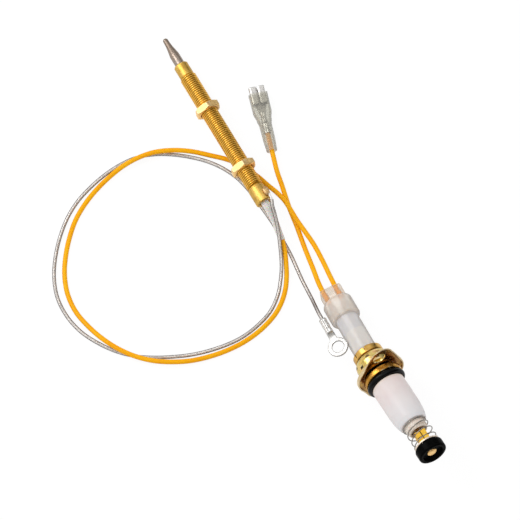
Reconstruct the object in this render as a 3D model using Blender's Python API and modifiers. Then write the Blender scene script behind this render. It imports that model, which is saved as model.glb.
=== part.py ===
"""Gas heater thermocouple with its lead set and plug-on magnet valve unit.

Run with: blender --background --python part.py
Units are metres, +Z is up and the harness lies on z = 0. Dimensions in the
constants, tables and calls below are millimetres and are scaled by MM.
Each sub-assembly is built along the Z axis of its own frame.
"""
import math

import bmesh
import bpy
from mathutils import Matrix, Vector

MM = 0.001

# ---------------------------------------------------------------- layout
ORIGIN_SHIFT = (6.42, -1.45, 0.0)        # puts the footprint's centre on the origin

PROBE_REAR = (2.0, 24.9, 8.9)            # centre of the probe tube's rear face
PROBE_AXIS = (-0.4916, 0.8701, -0.0344)  # towards the hot junction

MAGNET_CENTRE = (53.8, -60.27, 17.3)     # middle of the flange plate
MAGNET_AXIS = (0.4699, -0.8523, 0.2300)  # towards the valve disc

PLUG_SETBACK = 15.3                      # flange plate back to the plug's zero line
PLUG_AXIS = (-0.4313, 0.8724, -0.2300)   # from the clamp nut towards the wire ports

SPADE_FRONT = (-2.0, 84.1, 2.9)          # open end of the spade receptacle
SPADE_AXIS = (0.2256, -0.9742, 0.0)      # towards its wire

RING_CENTRE = (34.9, -46.2, 13.7)        # middle of the ring terminal's hole
RING_AXIS = (-0.431, 0.880, -0.200)      # towards its crimp barrel
RING_NORMAL = (-0.187, -0.0915, 0.978)

# ------------------------------------------------- dimensions shared by sections
COLLAR_R = 4.0                           # rear collar of the probe tube
PORT_X = 3.1                             # plug and magnet contacts, off the axis
BARREL_RISE = 1.2                        # ring terminal's barrel above its plate
SLOT_W = 0.5                             # slots in the clamp nut and the stem hub

# Leads: outer radius, bore of the insulation, radius of the conductor
LEAD_R, LEAD_BORE_R, LEAD_CORE_R = 1.05, 0.64, 0.5
JACKET_R, JACKET_BORE_R, STRAND_R = 0.92, 0.68, 0.54

# ------------------------------------------------------------- scene set-up
for old in list(bpy.data.objects):
    bpy.data.objects.remove(old, do_unlink=True)

scene = bpy.context.scene
PARTS = bpy.data.collections.new("thermocouple")
CUTTERS = bpy.data.collections.new("thermocouple_cutters")
FRAMES = bpy.data.collections.new("thermocouple_frames")
for collection in (PARTS, CUTTERS, FRAMES):
    scene.collection.children.link(collection)


# ---------------------------------------------------------------- materials
def material(name, rgb, roughness, metallic=0.0, alpha=1.0):
    mat = bpy.data.materials.new(name)
    mat.use_nodes = True
    shader = mat.node_tree.nodes["Principled BSDF"]
    shader.inputs["Base Color"].default_value = (*rgb, 1.0)
    shader.inputs["Roughness"].default_value = roughness
    shader.inputs["Metallic"].default_value = metallic
    shader.inputs["Alpha"].default_value = alpha
    mat.diffuse_color = (*rgb, alpha)
    return mat


def metal(name, rgb, roughness):
    return material(name, rgb, roughness, metallic=1.0)


BRASS = metal("brass_turned", rgb=(0.72, 0.47, 0.16), roughness=0.30)
BRASS_NUT = metal("brass_nut", rgb=(0.80, 0.60, 0.30), roughness=0.38)
GOLD_PLATE = metal("yellow_passivated_steel", rgb=(0.75, 0.52, 0.18), roughness=0.28)
STEEL_TIP = metal("junction_steel", rgb=(0.38, 0.33, 0.29), roughness=0.42)
STEEL = metal("spring_steel", rgb=(0.45, 0.44, 0.42), roughness=0.30)
IRON = metal("soft_iron", rgb=(0.33, 0.32, 0.31), roughness=0.45)
TIN = metal("tinned_plate", rgb=(0.78, 0.77, 0.75), roughness=0.28)
COPPER = metal("copper", rgb=(0.75, 0.36, 0.20), roughness=0.35)
SOLDER = metal("solder", rgb=(0.85, 0.66, 0.45), roughness=0.35)
TINNED = metal("tinned_strand", rgb=(0.55, 0.53, 0.51), roughness=0.38)
ORANGE = material("orange_insulation", rgb=(1.0, 0.42, 0.01), roughness=0.45)
CLEAR = material("clear_jacket", rgb=(0.90, 0.88, 0.86), roughness=0.20, alpha=0.45)
SLEEVE = material("glass_sleeve", rgb=(0.88, 0.84, 0.82), roughness=0.40, alpha=0.80)
BOOT = material("clear_boot", rgb=(0.80, 0.80, 0.74), roughness=0.22, alpha=0.40)
NYLON = material("natural_nylon", rgb=(0.86, 0.82, 0.77), roughness=0.38)
WHITE = material("white_hood_plastic", rgb=(0.90, 0.86, 0.86), roughness=0.40)
CERAMIC = material("ceramic", rgb=(0.90, 0.88, 0.82), roughness=0.60)
RUBBER = material("black_rubber", rgb=(0.015, 0.015, 0.016), roughness=0.42)
INSERT = material("dark_insert", rgb=(0.05, 0.05, 0.05), roughness=0.50)


# ------------------------------------------------------------------- frames
def frame(name, location, z_axis, y_hint=(0.0, 0.0, 1.0), parent=None):
    """An empty whose Z runs along z_axis and whose Y leans towards y_hint."""
    z = Vector(z_axis).normalized()
    y = Vector(y_hint)
    y = (y - z * y.dot(z)).normalized()
    x = y.cross(z)
    empty = bpy.data.objects.new(name, None)
    empty.empty_display_size = 5 * MM
    empty.parent = parent
    empty.location = Vector(location) * MM
    empty.rotation_euler = Matrix((x, y, z)).transposed().to_euler()
    FRAMES.objects.link(empty)
    return empty


def on_frame(base, x, y, z):
    """A layout point (mm) from a point given in a sub-assembly's frame."""
    return Vector(base.location) / MM + base.rotation_euler.to_matrix() @ Vector((x, y, z))


origin = frame("assembly_origin", ORIGIN_SHIFT, (0, 0, 1), (0, 1, 0))
probe = frame("probe_axis", PROBE_REAR, PROBE_AXIS, parent=origin)
magnet = frame("magnet_axis", MAGNET_CENTRE, MAGNET_AXIS, parent=origin)
plug_mouth = Vector(MAGNET_CENTRE) - Vector(MAGNET_AXIS).normalized() * PLUG_SETBACK
plug = frame("plug_axis", plug_mouth, PLUG_AXIS, parent=origin)
spade = frame("spade_axis", SPADE_FRONT, SPADE_AXIS, parent=origin)
ring = frame("ring_axis", RING_CENTRE, RING_AXIS, RING_NORMAL, parent=origin)


# ------------------------------------------------------------ shape helpers
# A shape made without a material is a helper for a boolean.
def place(obj, parent, mat=None, at=(0, 0, 0), turn=(0, 0, 0)):
    obj.parent = parent
    obj.location = Vector(at) * MM
    obj.rotation_euler = turn
    if mat:
        PARTS.objects.link(obj)
        obj.data.materials.append(mat)
    else:
        CUTTERS.objects.link(obj)
        obj.hide_render = True
        obj.display_type = "WIRE"
    return obj


def turned(name, parent, profile, steps, mat=None, closed=False, smooth=False, at=(0, 0, 0)):
    """A lathe part: (radius, height) profile, top first, down the outer side."""
    mesh = bpy.data.meshes.new(name)
    verts = [(radius * MM, 0.0, z * MM) for radius, z in profile]
    edges = [(i, i + 1) for i in range(len(verts) - 1)]
    if closed:
        edges.append((len(verts) - 1, 0))
    mesh.from_pydata(verts, edges, [])
    obj = place(bpy.data.objects.new(name, mesh), parent, mat, at)
    screw = obj.modifiers.new("Screw", "SCREW")
    screw.axis = "Z"
    screw.steps = screw.render_steps = steps
    screw.use_merge_vertices = True
    screw.merge_threshold = 1e-6
    screw.use_smooth_shade = smooth
    return obj


def rod(name, parent, radius, low, high, steps, mat):
    profile = [(0, high), (radius, high), (radius, low), (0, low)]
    return turned(name, parent, profile, steps, mat)


def pipe(name, parent, bore, radius, low, high, steps, mat, at=(0, 0, 0)):
    profile = [(bore, high), (radius, high), (radius, low), (bore, low)]
    return turned(name, parent, profile, steps, mat, closed=True, at=at)


def from_bmesh(name, shape, parent, mat=None, at=(0, 0, 0), turn=(0, 0, 0)):
    mesh = bpy.data.meshes.new(name)
    shape.to_mesh(mesh)
    shape.free()
    return place(bpy.data.objects.new(name, mesh), parent, mat, at, turn)


def box(name, parent, size, mat=None, at=(0, 0, 0), turn=(0, 0, 0)):
    shape = bmesh.new()
    bmesh.ops.create_cube(shape, size=1.0)
    bmesh.ops.scale(shape, vec=Vector(size) * MM, verts=shape.verts)
    return from_bmesh(name, shape, parent, mat, at, turn)


def prism(name, parent, sides, radius, height, mat=None, at=(0, 0, 0), turn=(0, 0, 0)):
    """A regular prism or cylinder, centred on its own origin."""
    shape = bmesh.new()
    bmesh.ops.create_cone(shape, cap_ends=True, segments=sides, radius1=radius * MM,
                          radius2=radius * MM, depth=height * MM)
    return from_bmesh(name, shape, parent, mat, at, turn)


def boolean(obj, other, operation):
    mod = obj.modifiers.new(operation.title(), "BOOLEAN")
    mod.operation = operation
    mod.object = other
    mod.solver = "EXACT"


def cut(obj, other):
    boolean(obj, other, "DIFFERENCE")


def join(obj, other):
    boolean(obj, other, "UNION")


def bevel(obj, width, segments=1):
    mod = obj.modifiers.new("Bevel", "BEVEL")
    mod.width = width * MM
    mod.segments = segments
    mod.limit_method = "ANGLE"


def thicken(obj, thickness):
    """Give a skin a wall, grown inwards."""
    mod = obj.modifiers.new("Solidify", "SOLIDIFY")
    mod.thickness = thickness * MM
    mod.offset = -1.0
    mod.use_even_offset = True


# -------------------------------------------------------------------- probe
# Heights are distances from the tube's rear face.
TUBE_BORE_R = 2.2
THREAD_R = 3.95                          # M8 x 1 thread, plain at its crest
THREAD_FROM, THREAD_TO = 8.8, 72.6
NECK_R = 3.6                             # groove between thread and rear collar
FRONT_COLLAR_R, FRONT_COLLAR_END = 3.4, 79.2
TIP_R, TIP_SHANK_R, TIP_ROD_R, TIP_END = 2.3, 2.1, 1.25, 94.4
TIP_BORE_R = 1.3
BUSH_BORE_R, BUSH_R, BUSH_LEN = 0.72, 2.05, 4.0

NUT_FLATS, NUT_THICK, NUT_BORE_R = 11.0, 3.2, 4.12
NUT_TRIM, NUT_FACE_TRIM = 0.15, 1.1      # off the corner radius: at mid-height, above a face
NUT_TRIM_DEPTH, NUT_OVERSHOOT = 0.42, 0.2  # where the turned slope ends, in and out of a face


def build_tube():
    turned("threaded_tube", probe, [
        (TUBE_BORE_R, FRONT_COLLAR_END), (FRONT_COLLAR_R - 0.4, FRONT_COLLAR_END),
        (FRONT_COLLAR_R, FRONT_COLLAR_END - 0.4), (FRONT_COLLAR_R, THREAD_TO + 0.7),
        (THREAD_R, THREAD_TO), (THREAD_R, THREAD_FROM), (NECK_R, THREAD_FROM - 0.1),
        (NECK_R, THREAD_FROM - 0.7), (COLLAR_R, THREAD_FROM - 0.9), (COLLAR_R, 0.3),
        (COLLAR_R - 0.3, 0.0), (TUBE_BORE_R, 0.0)], 24, BRASS, closed=True)


def build_tip():
    """The hot junction: a hollow shank in the tube, tapering to a solid rod."""
    turned("probe_tip", probe, [
        (0.0, TIP_END), (0.65, TIP_END - 0.1), (1.05, TIP_END - 0.45),
        (TIP_ROD_R, TIP_END - 1.0), (TIP_ROD_R + 0.1, 91.0), (1.5, 89.2),
        (TIP_R, 84.9), (TIP_R, 79.5), (TIP_SHANK_R, 79.3), (TIP_SHANK_R, 72.0),
        (TIP_BORE_R, 72.0), (TIP_BORE_R, 83.6), (0.0, 84.4)], 16, STEEL_TIP)


def build_probe_core():
    """The conductor inside the tube, its two bushes and the splice to the lead."""
    rod("inner_conductor", probe, radius=0.6, low=2.6, high=83.3, steps=8, mat=COPPER)
    for end, low in (("front", 60.0), ("rear", 8.0)):
        pipe("insulator_bush_" + end, probe, BUSH_BORE_R, BUSH_R, low, low + BUSH_LEN,
             steps=16, mat=CERAMIC)
    pipe("splice_ferrule", probe, bore=0.68, radius=1.1, low=-0.6, high=4.4, steps=12, mat=TIN)


def build_lock_nut(name, nut_at):
    """A hexagon with its corners turned off at each face."""
    half = NUT_THICK / 2
    corner = NUT_FLATS / 2 / math.cos(math.pi / 6)
    seat = frame(name + "_seat", (0, 0, nut_at), (0, 0, 1), (0, 1, 0), probe)
    nut = prism(name, seat, 6, corner, NUT_THICK, BRASS_NUT, turn=(0, 0, math.radians(30)))
    upper = [(0, half + NUT_OVERSHOOT), (corner - NUT_FACE_TRIM, half + NUT_OVERSHOOT),
             (corner - NUT_TRIM, half - NUT_TRIM_DEPTH)]
    lower = [(radius, -z) for radius, z in reversed(upper)]
    boolean(nut, turned(name + "_chamfer", seat, upper + lower, 24), "INTERSECT")
    cut(nut, prism(name + "_bore", seat, 24, NUT_BORE_R, 10))


# ------------------------------------------------------------- lead helpers
SPAN_POINTS = 24                         # points per span of the smooth path
LEAD_STEP = 8.0                          # widest spacing of points along a lead
LEAD_LEAST = 1.6                         # closest spacing, in a bend
LEAD_BEND = math.radians(9.0)            # turn that calls for a new point


def smooth_path(waypoints):
    """Catmull-Rom curve through the waypoints, as closely spaced points."""
    knots = [Vector(p) for p in waypoints]
    knots = [knots[0] * 2 - knots[1]] + knots + [knots[-1] * 2 - knots[-2]]
    path = []
    for before, start, stop, after in zip(knots, knots[1:], knots[2:], knots[3:]):
        gap_in = max((start - before).length, 1e-6) ** 0.5
        gap = max((stop - start).length, 1e-6) ** 0.5
        gap_out = max((after - stop).length, 1e-6) ** 0.5
        leave = (stop - start) + ((start - before) / gap_in
                                  - (stop - before) / (gap_in + gap)) * gap
        arrive = (stop - start) + ((after - stop) / gap_out
                                   - (after - start) / (gap + gap_out)) * gap
        for k in range(SPAN_POINTS):
            u = k / SPAN_POINTS
            path.append(start * (2 * u**3 - 3 * u**2 + 1) + leave * (u**3 - 2 * u**2 + u)
                        + stop * (-2 * u**3 + 3 * u**2) + arrive * (u**3 - u**2))
    path.append(knots[-2])
    return path


def run_points(waypoints):
    """The smooth path thinned out: a point every step, and at every tight bend."""
    dense = smooth_path(waypoints)
    kept, run, bend = [dense[0]], 0.0, 0.0
    for back, here, ahead in zip(dense, dense[1:], dense[2:]):
        run += (here - back).length
        bend += (here - back).angle(ahead - here, 0.0)
        if run >= LEAD_STEP or (bend >= LEAD_BEND and run >= LEAD_LEAST):
            kept.append(here)
            run = bend = 0.0
    if run < LEAD_LEAST:
        kept.pop()
    kept.append(dense[-1])
    return kept


def wire(name, points, radius, end=None, resolution=2, caps=True):
    """A round curve through the points, tapering to radius end where given."""
    curve = bpy.data.curves.new(name, "CURVE")
    curve.dimensions = "3D"
    curve.bevel_depth = radius * MM
    curve.bevel_resolution = resolution
    curve.use_fill_caps = caps
    spline = curve.splines.new("POLY")
    spline.points.add(len(points) - 1)
    for i, (knot, point) in enumerate(zip(spline.points, points)):
        knot.co = (*(Vector(point) * MM), 1.0)
        knot.radius = 1.0 + ((end or radius) / radius - 1.0) * i / (len(points) - 1)
    return bpy.data.objects.new(name, curve)


def solid_wire(name, points, radius, parent, mat):
    place(wire(name, points, radius, resolution=1), parent, mat)


def hollow_wire(name, points, radius, bore, mat, end=None):
    """An insulation tube: the open skin of the wire, thickened inwards."""
    skin = wire(name + "_skin", points, radius, end, caps=False)
    scene.collection.objects.link(skin)
    bpy.context.view_layer.update()
    depsgraph = bpy.context.evaluated_depsgraph_get()
    mesh = bpy.data.meshes.new_from_object(skin.evaluated_get(depsgraph))
    bpy.data.objects.remove(skin, do_unlink=True)
    mesh.name = name
    shape = bmesh.new()
    shape.from_mesh(mesh)
    bmesh.ops.remove_doubles(shape, verts=shape.verts, dist=1e-7)
    bmesh.ops.recalc_face_normals(shape, faces=shape.faces)
    # On an open skin the normals may settle either way: make them point outwards.
    shape.faces.ensure_lookup_table()
    face = shape.faces[0]
    middle = face.calc_center_median()
    near = min((Vector(p) * MM for p in points), key=lambda q: (q - middle).length)
    if face.normal.dot(middle - near) < 0:
        bmesh.ops.reverse_faces(shape, faces=shape.faces)
    shape.to_mesh(mesh)
    shape.free()
    mesh.materials.clear()
    thicken(place(bpy.data.objects.new(name, mesh), origin, mat), radius - bore)


def nearest(points, target):
    """Index of the point nearest the target."""
    target = Vector(target)
    return min(range(len(points)), key=lambda i: (points[i] - target).length)


def into_port(x):
    """The last waypoints of a lead, straight down the plug channel at x."""
    return [on_frame(plug, x, 0, z) for z in (35.0, 26.0, 9.5)]


def solder_side(out, z):
    """A point in the probe's frame, beside the collar where the ground lead lies."""
    return (-out * math.cos(SOLDER_TURN), out * math.sin(SOLDER_TURN), z)


# -------------------------------------------------------------------- leads
# Waypoints are (x, y, z) in the layout, or points carried over from a frame.
INSULATION_END = 27.5                    # in the plug's frame
SLEEVE_R, SLEEVE_END_R, SLEEVE_WALL = 1.95, 1.45, 0.3
SLEEVE_END = (10.0, 8.3, 3.6)
SOLDER_TURN = math.radians(52.0)         # ground joint, from the probe's -X towards +Y
WIRE_OUT, BEAD_OUT = 4.9, 4.7            # strand and bead, off the probe's axis
BEAD_SIZE = (1.45, 1.25, 2.5)            # half axes
BEAD_GAP = 0.12                          # clearance to the collar and the strand

# Out of the probe's bore, once round the loop, into the right port (-X).
MAIN_WAYPOINTS = [
    on_frame(probe, 0, 0, 2.3), on_frame(probe, 0, 0, -2.5),
    (6.4, 17.0, 6.3), (8.5, 12.0, 4.4), (10.1, 8.0, 3.6), (11.2, 2.5, 3.4),
    (11.7, -3.0, 2.7), (11.9, -8.0, 1.6), (11.4, -14.0, 1.1), (9.6, -20.5, 1.1),
    (6.5, -26.5, 1.1), (0.2, -33.7, 1.1), (-7.2, -39.4, 1.1), (-15.1, -43.6, 1.1),
    (-23.2, -46.6, 1.2), (-31.5, -48.8, 2.0), (-39.8, -49.7, 3.0), (-48.0, -49.3, 3.4),
    (-56.3, -47.2, 3.4), (-64.0, -43.7, 3.4), (-71.3, -38.7, 3.0), (-78.0, -32.3, 1.9),
    (-83.8, -25.0, 1.2), (-87.6, -16.5, 1.1), (-89.1, -7.2, 1.1), (-88.7, 2.0, 1.1),
    (-87.1, 10.8, 1.1), (-84.5, 19.2, 1.1), (-80.5, 26.8, 1.1), (-75.6, 33.6, 1.1),
    (-70.0, 39.6, 1.4), (-63.6, 44.9, 2.3), (-56.6, 48.9, 3.2), (-48.8, 51.7, 3.5),
    (-40.4, 52.8, 3.2), (-32.0, 52.7, 2.1), (-23.7, 51.2, 1.2), (-12.5, 48.0, 1.1),
    (-2.0, 41.3, 1.1), (4.0, 35.7, 1.5), (7.3, 32.6, 2.2), (11.0, 28.2, 3.1),
    (13.6, 23.8, 3.5), (16.4, 18.8, 3.5), (19.9, 13.5, 3.4), (24.1, 7.0, 3.4),
    (28.1, -1.0, 3.7), on_frame(plug, -3.5, 0, 42.0), *into_port(-PORT_X)]

# From the spade receptacle to the left port (+X).
SWITCH_WAYPOINTS = [
    *(on_frame(spade, 0, 0, z) for z in (13.5, 22.0, 33.0, 43.0)),
    (9.7, 36.6, 1.8), (11.6, 30.5, 1.15), (13.4, 24.8, 1.1), (16.5, 16.6, 1.1),
    (20.3, 5.2, 1.8), (24.1, -5.6, 3.4), on_frame(plug, 2.6, 0, 42.0), *into_port(PORT_X)]

# From the side of the probe's collar, round the loop, to the ring terminal.
GROUND_WAYPOINTS = [
    *(on_frame(probe, *solder_side(WIRE_OUT, z)) for z in (4.6, -0.6)),
    (5.4, 22.3, 12.1), (6.4, 19.3, 10.5), (7.5, 15.0, 8.5), (8.3, 10.6, 7.0),
    (8.9, 5.5, 5.6), (9.4, 0.5, 4.3), (9.6, -4.6, 3.0), (9.1, -10.5, 1.5),
    (7.9, -17.0, 0.95), (4.4, -25.0, 0.95), (-1.6, -31.9, 0.95), (-8.6, -37.4, 0.95),
    (-16.2, -41.2, 0.95), (-24.0, -43.9, 0.95), (-31.8, -45.7, 0.95), (-39.8, -46.6, 0.95),
    (-48.0, -46.9, 0.95), (-56.4, -46.3, 0.95), (-65.1, -44.0, 0.95), (-73.2, -40.2, 0.95),
    (-81.2, -34.7, 0.95), (-87.7, -27.3, 0.95), (-92.2, -18.2, 0.95), (-93.9, -8.0, 0.95),
    (-93.3, 2.1, 0.95), (-91.3, 11.7, 0.95), (-88.1, 20.7, 0.95), (-83.6, 28.6, 0.95),
    (-77.8, 35.5, 0.95), (-71.4, 41.5, 0.95), (-64.4, 46.5, 0.95), (-56.8, 50.1, 0.95),
    (-48.6, 51.6, 0.95), (-40.4, 51.5, 0.95), (-32.4, 50.3, 0.95), (-24.6, 48.2, 0.95),
    (-17.3, 44.8, 0.95), (-10.6, 39.9, 0.95), (-5.0, 33.6, 0.95), (-0.3, 26.9, 0.95),
    (5.3, 18.4, 0.95), (10.4, 9.2, 0.97), (14.0, 2.0, 1.08), (16.4, -3.9, 1.6),
    (19.1, -11.0, 3.4), (23.1, -20.4, 6.4),
    *(on_frame(ring, 0, BARREL_RISE, z) for z in (19.0, 15.6, 9.6))]


def build_main_lead():
    path = run_points(MAIN_WAYPOINTS)
    sleeve_end = nearest(path, SLEEVE_END)
    skin_end = nearest(path, on_frame(plug, -PORT_X, 0, INSULATION_END))
    solid_wire("main_lead_core", path, LEAD_CORE_R, origin, COPPER)
    in_bore = [on_frame(probe, 0, 0, z) for z in (4.9, -0.5)]
    hollow_wire("splice_sleeve", in_bore + path[1:sleeve_end + 1], SLEEVE_R,
                SLEEVE_R - SLEEVE_WALL, SLEEVE, end=SLEEVE_END_R)
    hollow_wire("main_lead_insulation", path[sleeve_end - 1:skin_end + 1],
                LEAD_R, LEAD_BORE_R, ORANGE)


def build_switch_lead():
    path = run_points(SWITCH_WAYPOINTS)
    skin_end = nearest(path, on_frame(plug, PORT_X, 0, INSULATION_END))
    solid_wire("switch_lead_core", path, LEAD_CORE_R, origin, COPPER)
    hollow_wire("switch_lead_insulation", path[1:skin_end + 1], LEAD_R, LEAD_BORE_R, ORANGE)


def build_ground_lead():
    path = run_points(GROUND_WAYPOINTS)
    solid_wire("ground_lead_strand", path, STRAND_R, origin, TINNED)
    hollow_wire("ground_lead_jacket", path[1:-1], JACKET_R, JACKET_BORE_R, CLEAR)


def build_solder_joint():
    """A bead lying on the collar, round the end of the ground strand."""
    shape = bmesh.new()
    bmesh.ops.create_uvsphere(shape, u_segments=14, v_segments=8, radius=1.0)
    bmesh.ops.scale(shape, vec=Vector(BEAD_SIZE) * MM, verts=shape.verts)
    bead = from_bmesh("ground_solder_joint", shape, probe, SOLDER,
                      at=solder_side(BEAD_OUT, 3.4), turn=(0, 0, math.pi - SOLDER_TURN))
    cut(bead, prism("bead_seat", probe, 24, COLLAR_R + BEAD_GAP, 30))
    cut(bead, prism("bead_wire_hole", probe, 12, STRAND_R + BEAD_GAP, 8,
                    at=solder_side(WIRE_OUT, 0.8)))


# ---------------------------------------------------------------- terminals
RING_R, RING_HOLE_R, RING_SHEET = 4.7, 2.75, 0.8

SPADE_HALF_W, SPADE_HALF_H, SPADE_LEN = 3.6, 1.35, 8.6
SPADE_SHEET, SPADE_LIP = 0.45, 2.0       # sheet thickness, width of each rolled lip
SPADE_NECK_RISE = 0.235                  # neck's middle above the receptacle's underside

BOOT_WALL, BOOT_SIDES = 0.5, 24
BOOT_SECTIONS = [  # distance, half width, half height, squareness
    (3.6, 4.45, 2.75, 4.0), (12.6, 4.4, 2.75, 3.6), (16.6, 3.5, 2.7, 2.4),
    (19.4, 2.95, 2.65, 2.0), (26.0, 2.85, 2.6, 2.0), (32.4, 2.5, 2.5, 2.0)]


def build_ring_terminal():
    """A flat eyelet in the frame's XZ plane, with a neck and a crimp barrel."""
    flat = (math.radians(90), 0, 0)
    eyelet = prism("ring_terminal", ring, 24, RING_R, RING_SHEET, TIN, turn=flat)
    join(eyelet, box("ring_neck", ring, (3.4, RING_SHEET, 4.6), at=(0, 0, 6.1)))
    join(eyelet, turned("ring_barrel", ring, [
        (0, 8.6), (0.72, 8.6), (0.72, 15.2), (1.75, 15.2), (1.75, 6.9), (0, 6.9)],
        12, at=(0, BARREL_RISE, 0)))
    cut(eyelet, prism("ring_hole", ring, 24, RING_HOLE_R, 6, turn=flat))


def build_spade_terminal():
    """A receptacle with two lips rolled over its top, a neck and a crimp."""
    top, inner_w, inner_h = SPADE_HALF_H, SPADE_HALF_W - SPADE_SHEET, SPADE_HALF_H - SPADE_SHEET
    lip_edge = SPADE_HALF_W - SPADE_LIP
    outline = [(-SPADE_HALF_W, -top), (SPADE_HALF_W, -top), (SPADE_HALF_W, top),
               (lip_edge, top), (lip_edge, inner_h), (inner_w, inner_h),
               (inner_w, -inner_h), (-inner_w, -inner_h), (-inner_w, inner_h),
               (-lip_edge, inner_h), (-lip_edge, top), (-SPADE_HALF_W, top)]
    shape = bmesh.new()
    face = shape.faces.new([shape.verts.new((x * MM, y * MM, 0)) for x, y in outline])
    grown = bmesh.ops.extrude_face_region(shape, geom=[face])
    bmesh.ops.translate(shape, vec=(0, 0, SPADE_LEN * MM),
                        verts=[v for v in grown["geom"] if isinstance(v, bmesh.types.BMVert)])
    bmesh.ops.recalc_face_normals(shape, faces=shape.faces)
    receptacle = from_bmesh("spade_terminal", shape, spade, TIN)
    join(receptacle, box("spade_neck", spade, (2.6, SPADE_SHEET, 8.0),
                         at=(0, -SPADE_HALF_H + SPADE_NECK_RISE, 11.0)))
    join(receptacle, turned("spade_crimp", spade, [
        (1.22, 23.6), (1.75, 23.6), (1.75, 18.6), (1.4, 17.9), (1.4, 12.6), (0.64, 12.6),
        (0.64, 17.6), (1.22, 18.2)], 12, closed=True))


def build_spade_boot():
    """A clear sleeve, flat and wide at its mouth and round at its tail."""
    shape = bmesh.new()
    rows = []
    for dist, half_w, half_h, squareness in BOOT_SECTIONS:
        row = []
        for k in range(BOOT_SIDES):
            angle = 2 * math.pi * k / BOOT_SIDES
            x, y = math.cos(angle), math.sin(angle)
            row.append(shape.verts.new((
                math.copysign(abs(x) ** (2 / squareness), x) * half_w * MM,
                math.copysign(abs(y) ** (2 / squareness), y) * half_h * MM, dist * MM)))
        rows.append(row)
    for lower, upper in zip(rows, rows[1:]):
        for k in range(BOOT_SIDES):
            n = (k + 1) % BOOT_SIDES
            shape.faces.new((lower[k], lower[n], upper[n], upper[k]))
    thicken(from_bmesh("spade_boot", shape, spade, BOOT), BOOT_WALL)


# --------------------------------------------------------------------- plug
PLUG_R, PLUG_NOSE_R, PLUG_COLLAR_R = 5.5, 5.2, 7.0
PLUG_BLOCK = (10.3, 8.0, 8.0)


def build_plug():
    """A round housing with a block at its wire end and a contact in each channel."""
    housing = turned("plug_housing", plug, [
        (0, 28.2), (5.9, 28.2), (6.7, 27.8), (PLUG_COLLAR_R, 27.0), (PLUG_COLLAR_R, 18.6),
        (6.7, 17.9), (5.9, 17.6), (PLUG_R, 17.5), (PLUG_R, -1.7), (PLUG_NOSE_R, -1.9),
        (PLUG_NOSE_R, -5.9), (4.9, -6.2), (0, -6.2)], 24, NYLON)
    block = box("plug_block", plug, PLUG_BLOCK, at=(0, 0, 31.1))
    bevel(block, 0.8, segments=2)
    join(housing, block)
    for side, x in (("left", PORT_X), ("right", -PORT_X)):
        cut(housing, turned("plug_channel_" + side, plug, [
            (0, 36.0), (1.4, 36.0), (1.4, 27.0), (1.75, 26.4), (1.75, -7.0), (0, -7.0)],
            16, at=(x, 0, 0)))
        turned("plug_contact_" + side, plug, [
            (0.62, 24.0), (1.15, 24.0), (1.15, 8.6), (1.5, 8.0), (1.5, -4.6), (1.3, -4.9),
            (1.0, -4.9), (1.0, 7.6), (0.62, 8.2)], 12, BRASS, closed=True, at=(x, 0, 0))


# -------------------------------------------------------------- magnet unit
INSERT_AT = -7.1
EAR_TURN = math.radians(10.0)            # flange ears, from +Y towards +X
HOLE_TURN = math.radians(4.0)            # flange holes, from +Y towards +X
HOLE_OUT, HOLE_R = 11.9, 3.0
FLANGE_CIRCLES = [(0, 11.6), (12.1, 5.5), (-12.1, 5.5)]  # centre y, radius
ORING_R, ORING_SECTION_R, ORING_AT, ORING_SIDES = 8.0, 1.36, 5.2, 10
HOOD_R, HOOD_BORE_R = 7.85, 6.9
COIL_Y = 3.3


def build_clamp_nut():
    nut = turned("clamp_nut", magnet, [
        (6.14, -9.8), (6.9, -9.8), (7.15, -10.1), (7.15, -12.5), (6.75, -13.0),
        (6.14, -13.0)], 32, BRASS_NUT, closed=True)
    for k in range(4):
        cut(nut, box("clamp_nut_slot_%d" % k, magnet, (20, SLOT_W, 4.4), at=(0, 0, -12.9),
                     turn=(0, 0, math.radians(11 + 45 * k))))


def build_magnet_base():
    """The brass base, the insert in its rear socket and the two contact pins."""
    base = turned("magnet_base", magnet, [
        (0, 9.6), (6.3, 9.6), (6.5, 9.4), (6.5, 3.65), (8.9, 3.65), (9.2, 3.35),
        (9.2, 1.2), (8.9, 0.9), (6.0, 0.9), (6.0, -12.6), (5.7, -12.8), (5.7, -5.4),
        (0, -5.4)], 28, BRASS)
    insert = prism("socket_insert", magnet, 24, 5.45, 2.8, INSERT, at=(0, 0, INSERT_AT))
    for side, x in (("left", -PORT_X), ("right", PORT_X)):
        cut(base, prism("base_pin_hole_" + side, magnet, 12, 0.95, 20, at=(x, 0, 2.0)))
        cut(insert, prism("insert_pin_hole_" + side, magnet, 12, 0.62, 10,
                          at=(x, 0, INSERT_AT)))
        turned("contact_pin_" + side, magnet, [
            (0, 11.0), (0.5, 11.0), (0.5, -13.8), (0.25, -14.2), (0, -14.2)],
            10, BRASS, at=(x, 0, 0))


def rhombus(name, inset, low, high, mat=None):
    """A plate hulled round the flange's three circles, drawn in by inset."""
    shape = bmesh.new()
    for centre_y, radius in FLANGE_CIRCLES:
        for z in (low, high):
            bmesh.ops.create_circle(shape, segments=24, radius=(radius - inset) * MM,
                                    matrix=Matrix.Translation(Vector((0, centre_y, z)) * MM))
    hull = bmesh.ops.convex_hull(shape, input=shape.verts)
    inside = {g for g in hull["geom_interior"] + hull["geom_unused"]
              if isinstance(g, bmesh.types.BMVert)}
    bmesh.ops.delete(shape, geom=list(inside), context="VERTS")
    bmesh.ops.dissolve_limit(shape, angle_limit=math.radians(0.5), verts=shape.verts,
                             edges=shape.edges)
    bmesh.ops.recalc_face_normals(shape, faces=shape.faces)
    return from_bmesh(name, shape, magnet, mat, turn=(0, 0, -EAR_TURN))


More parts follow.
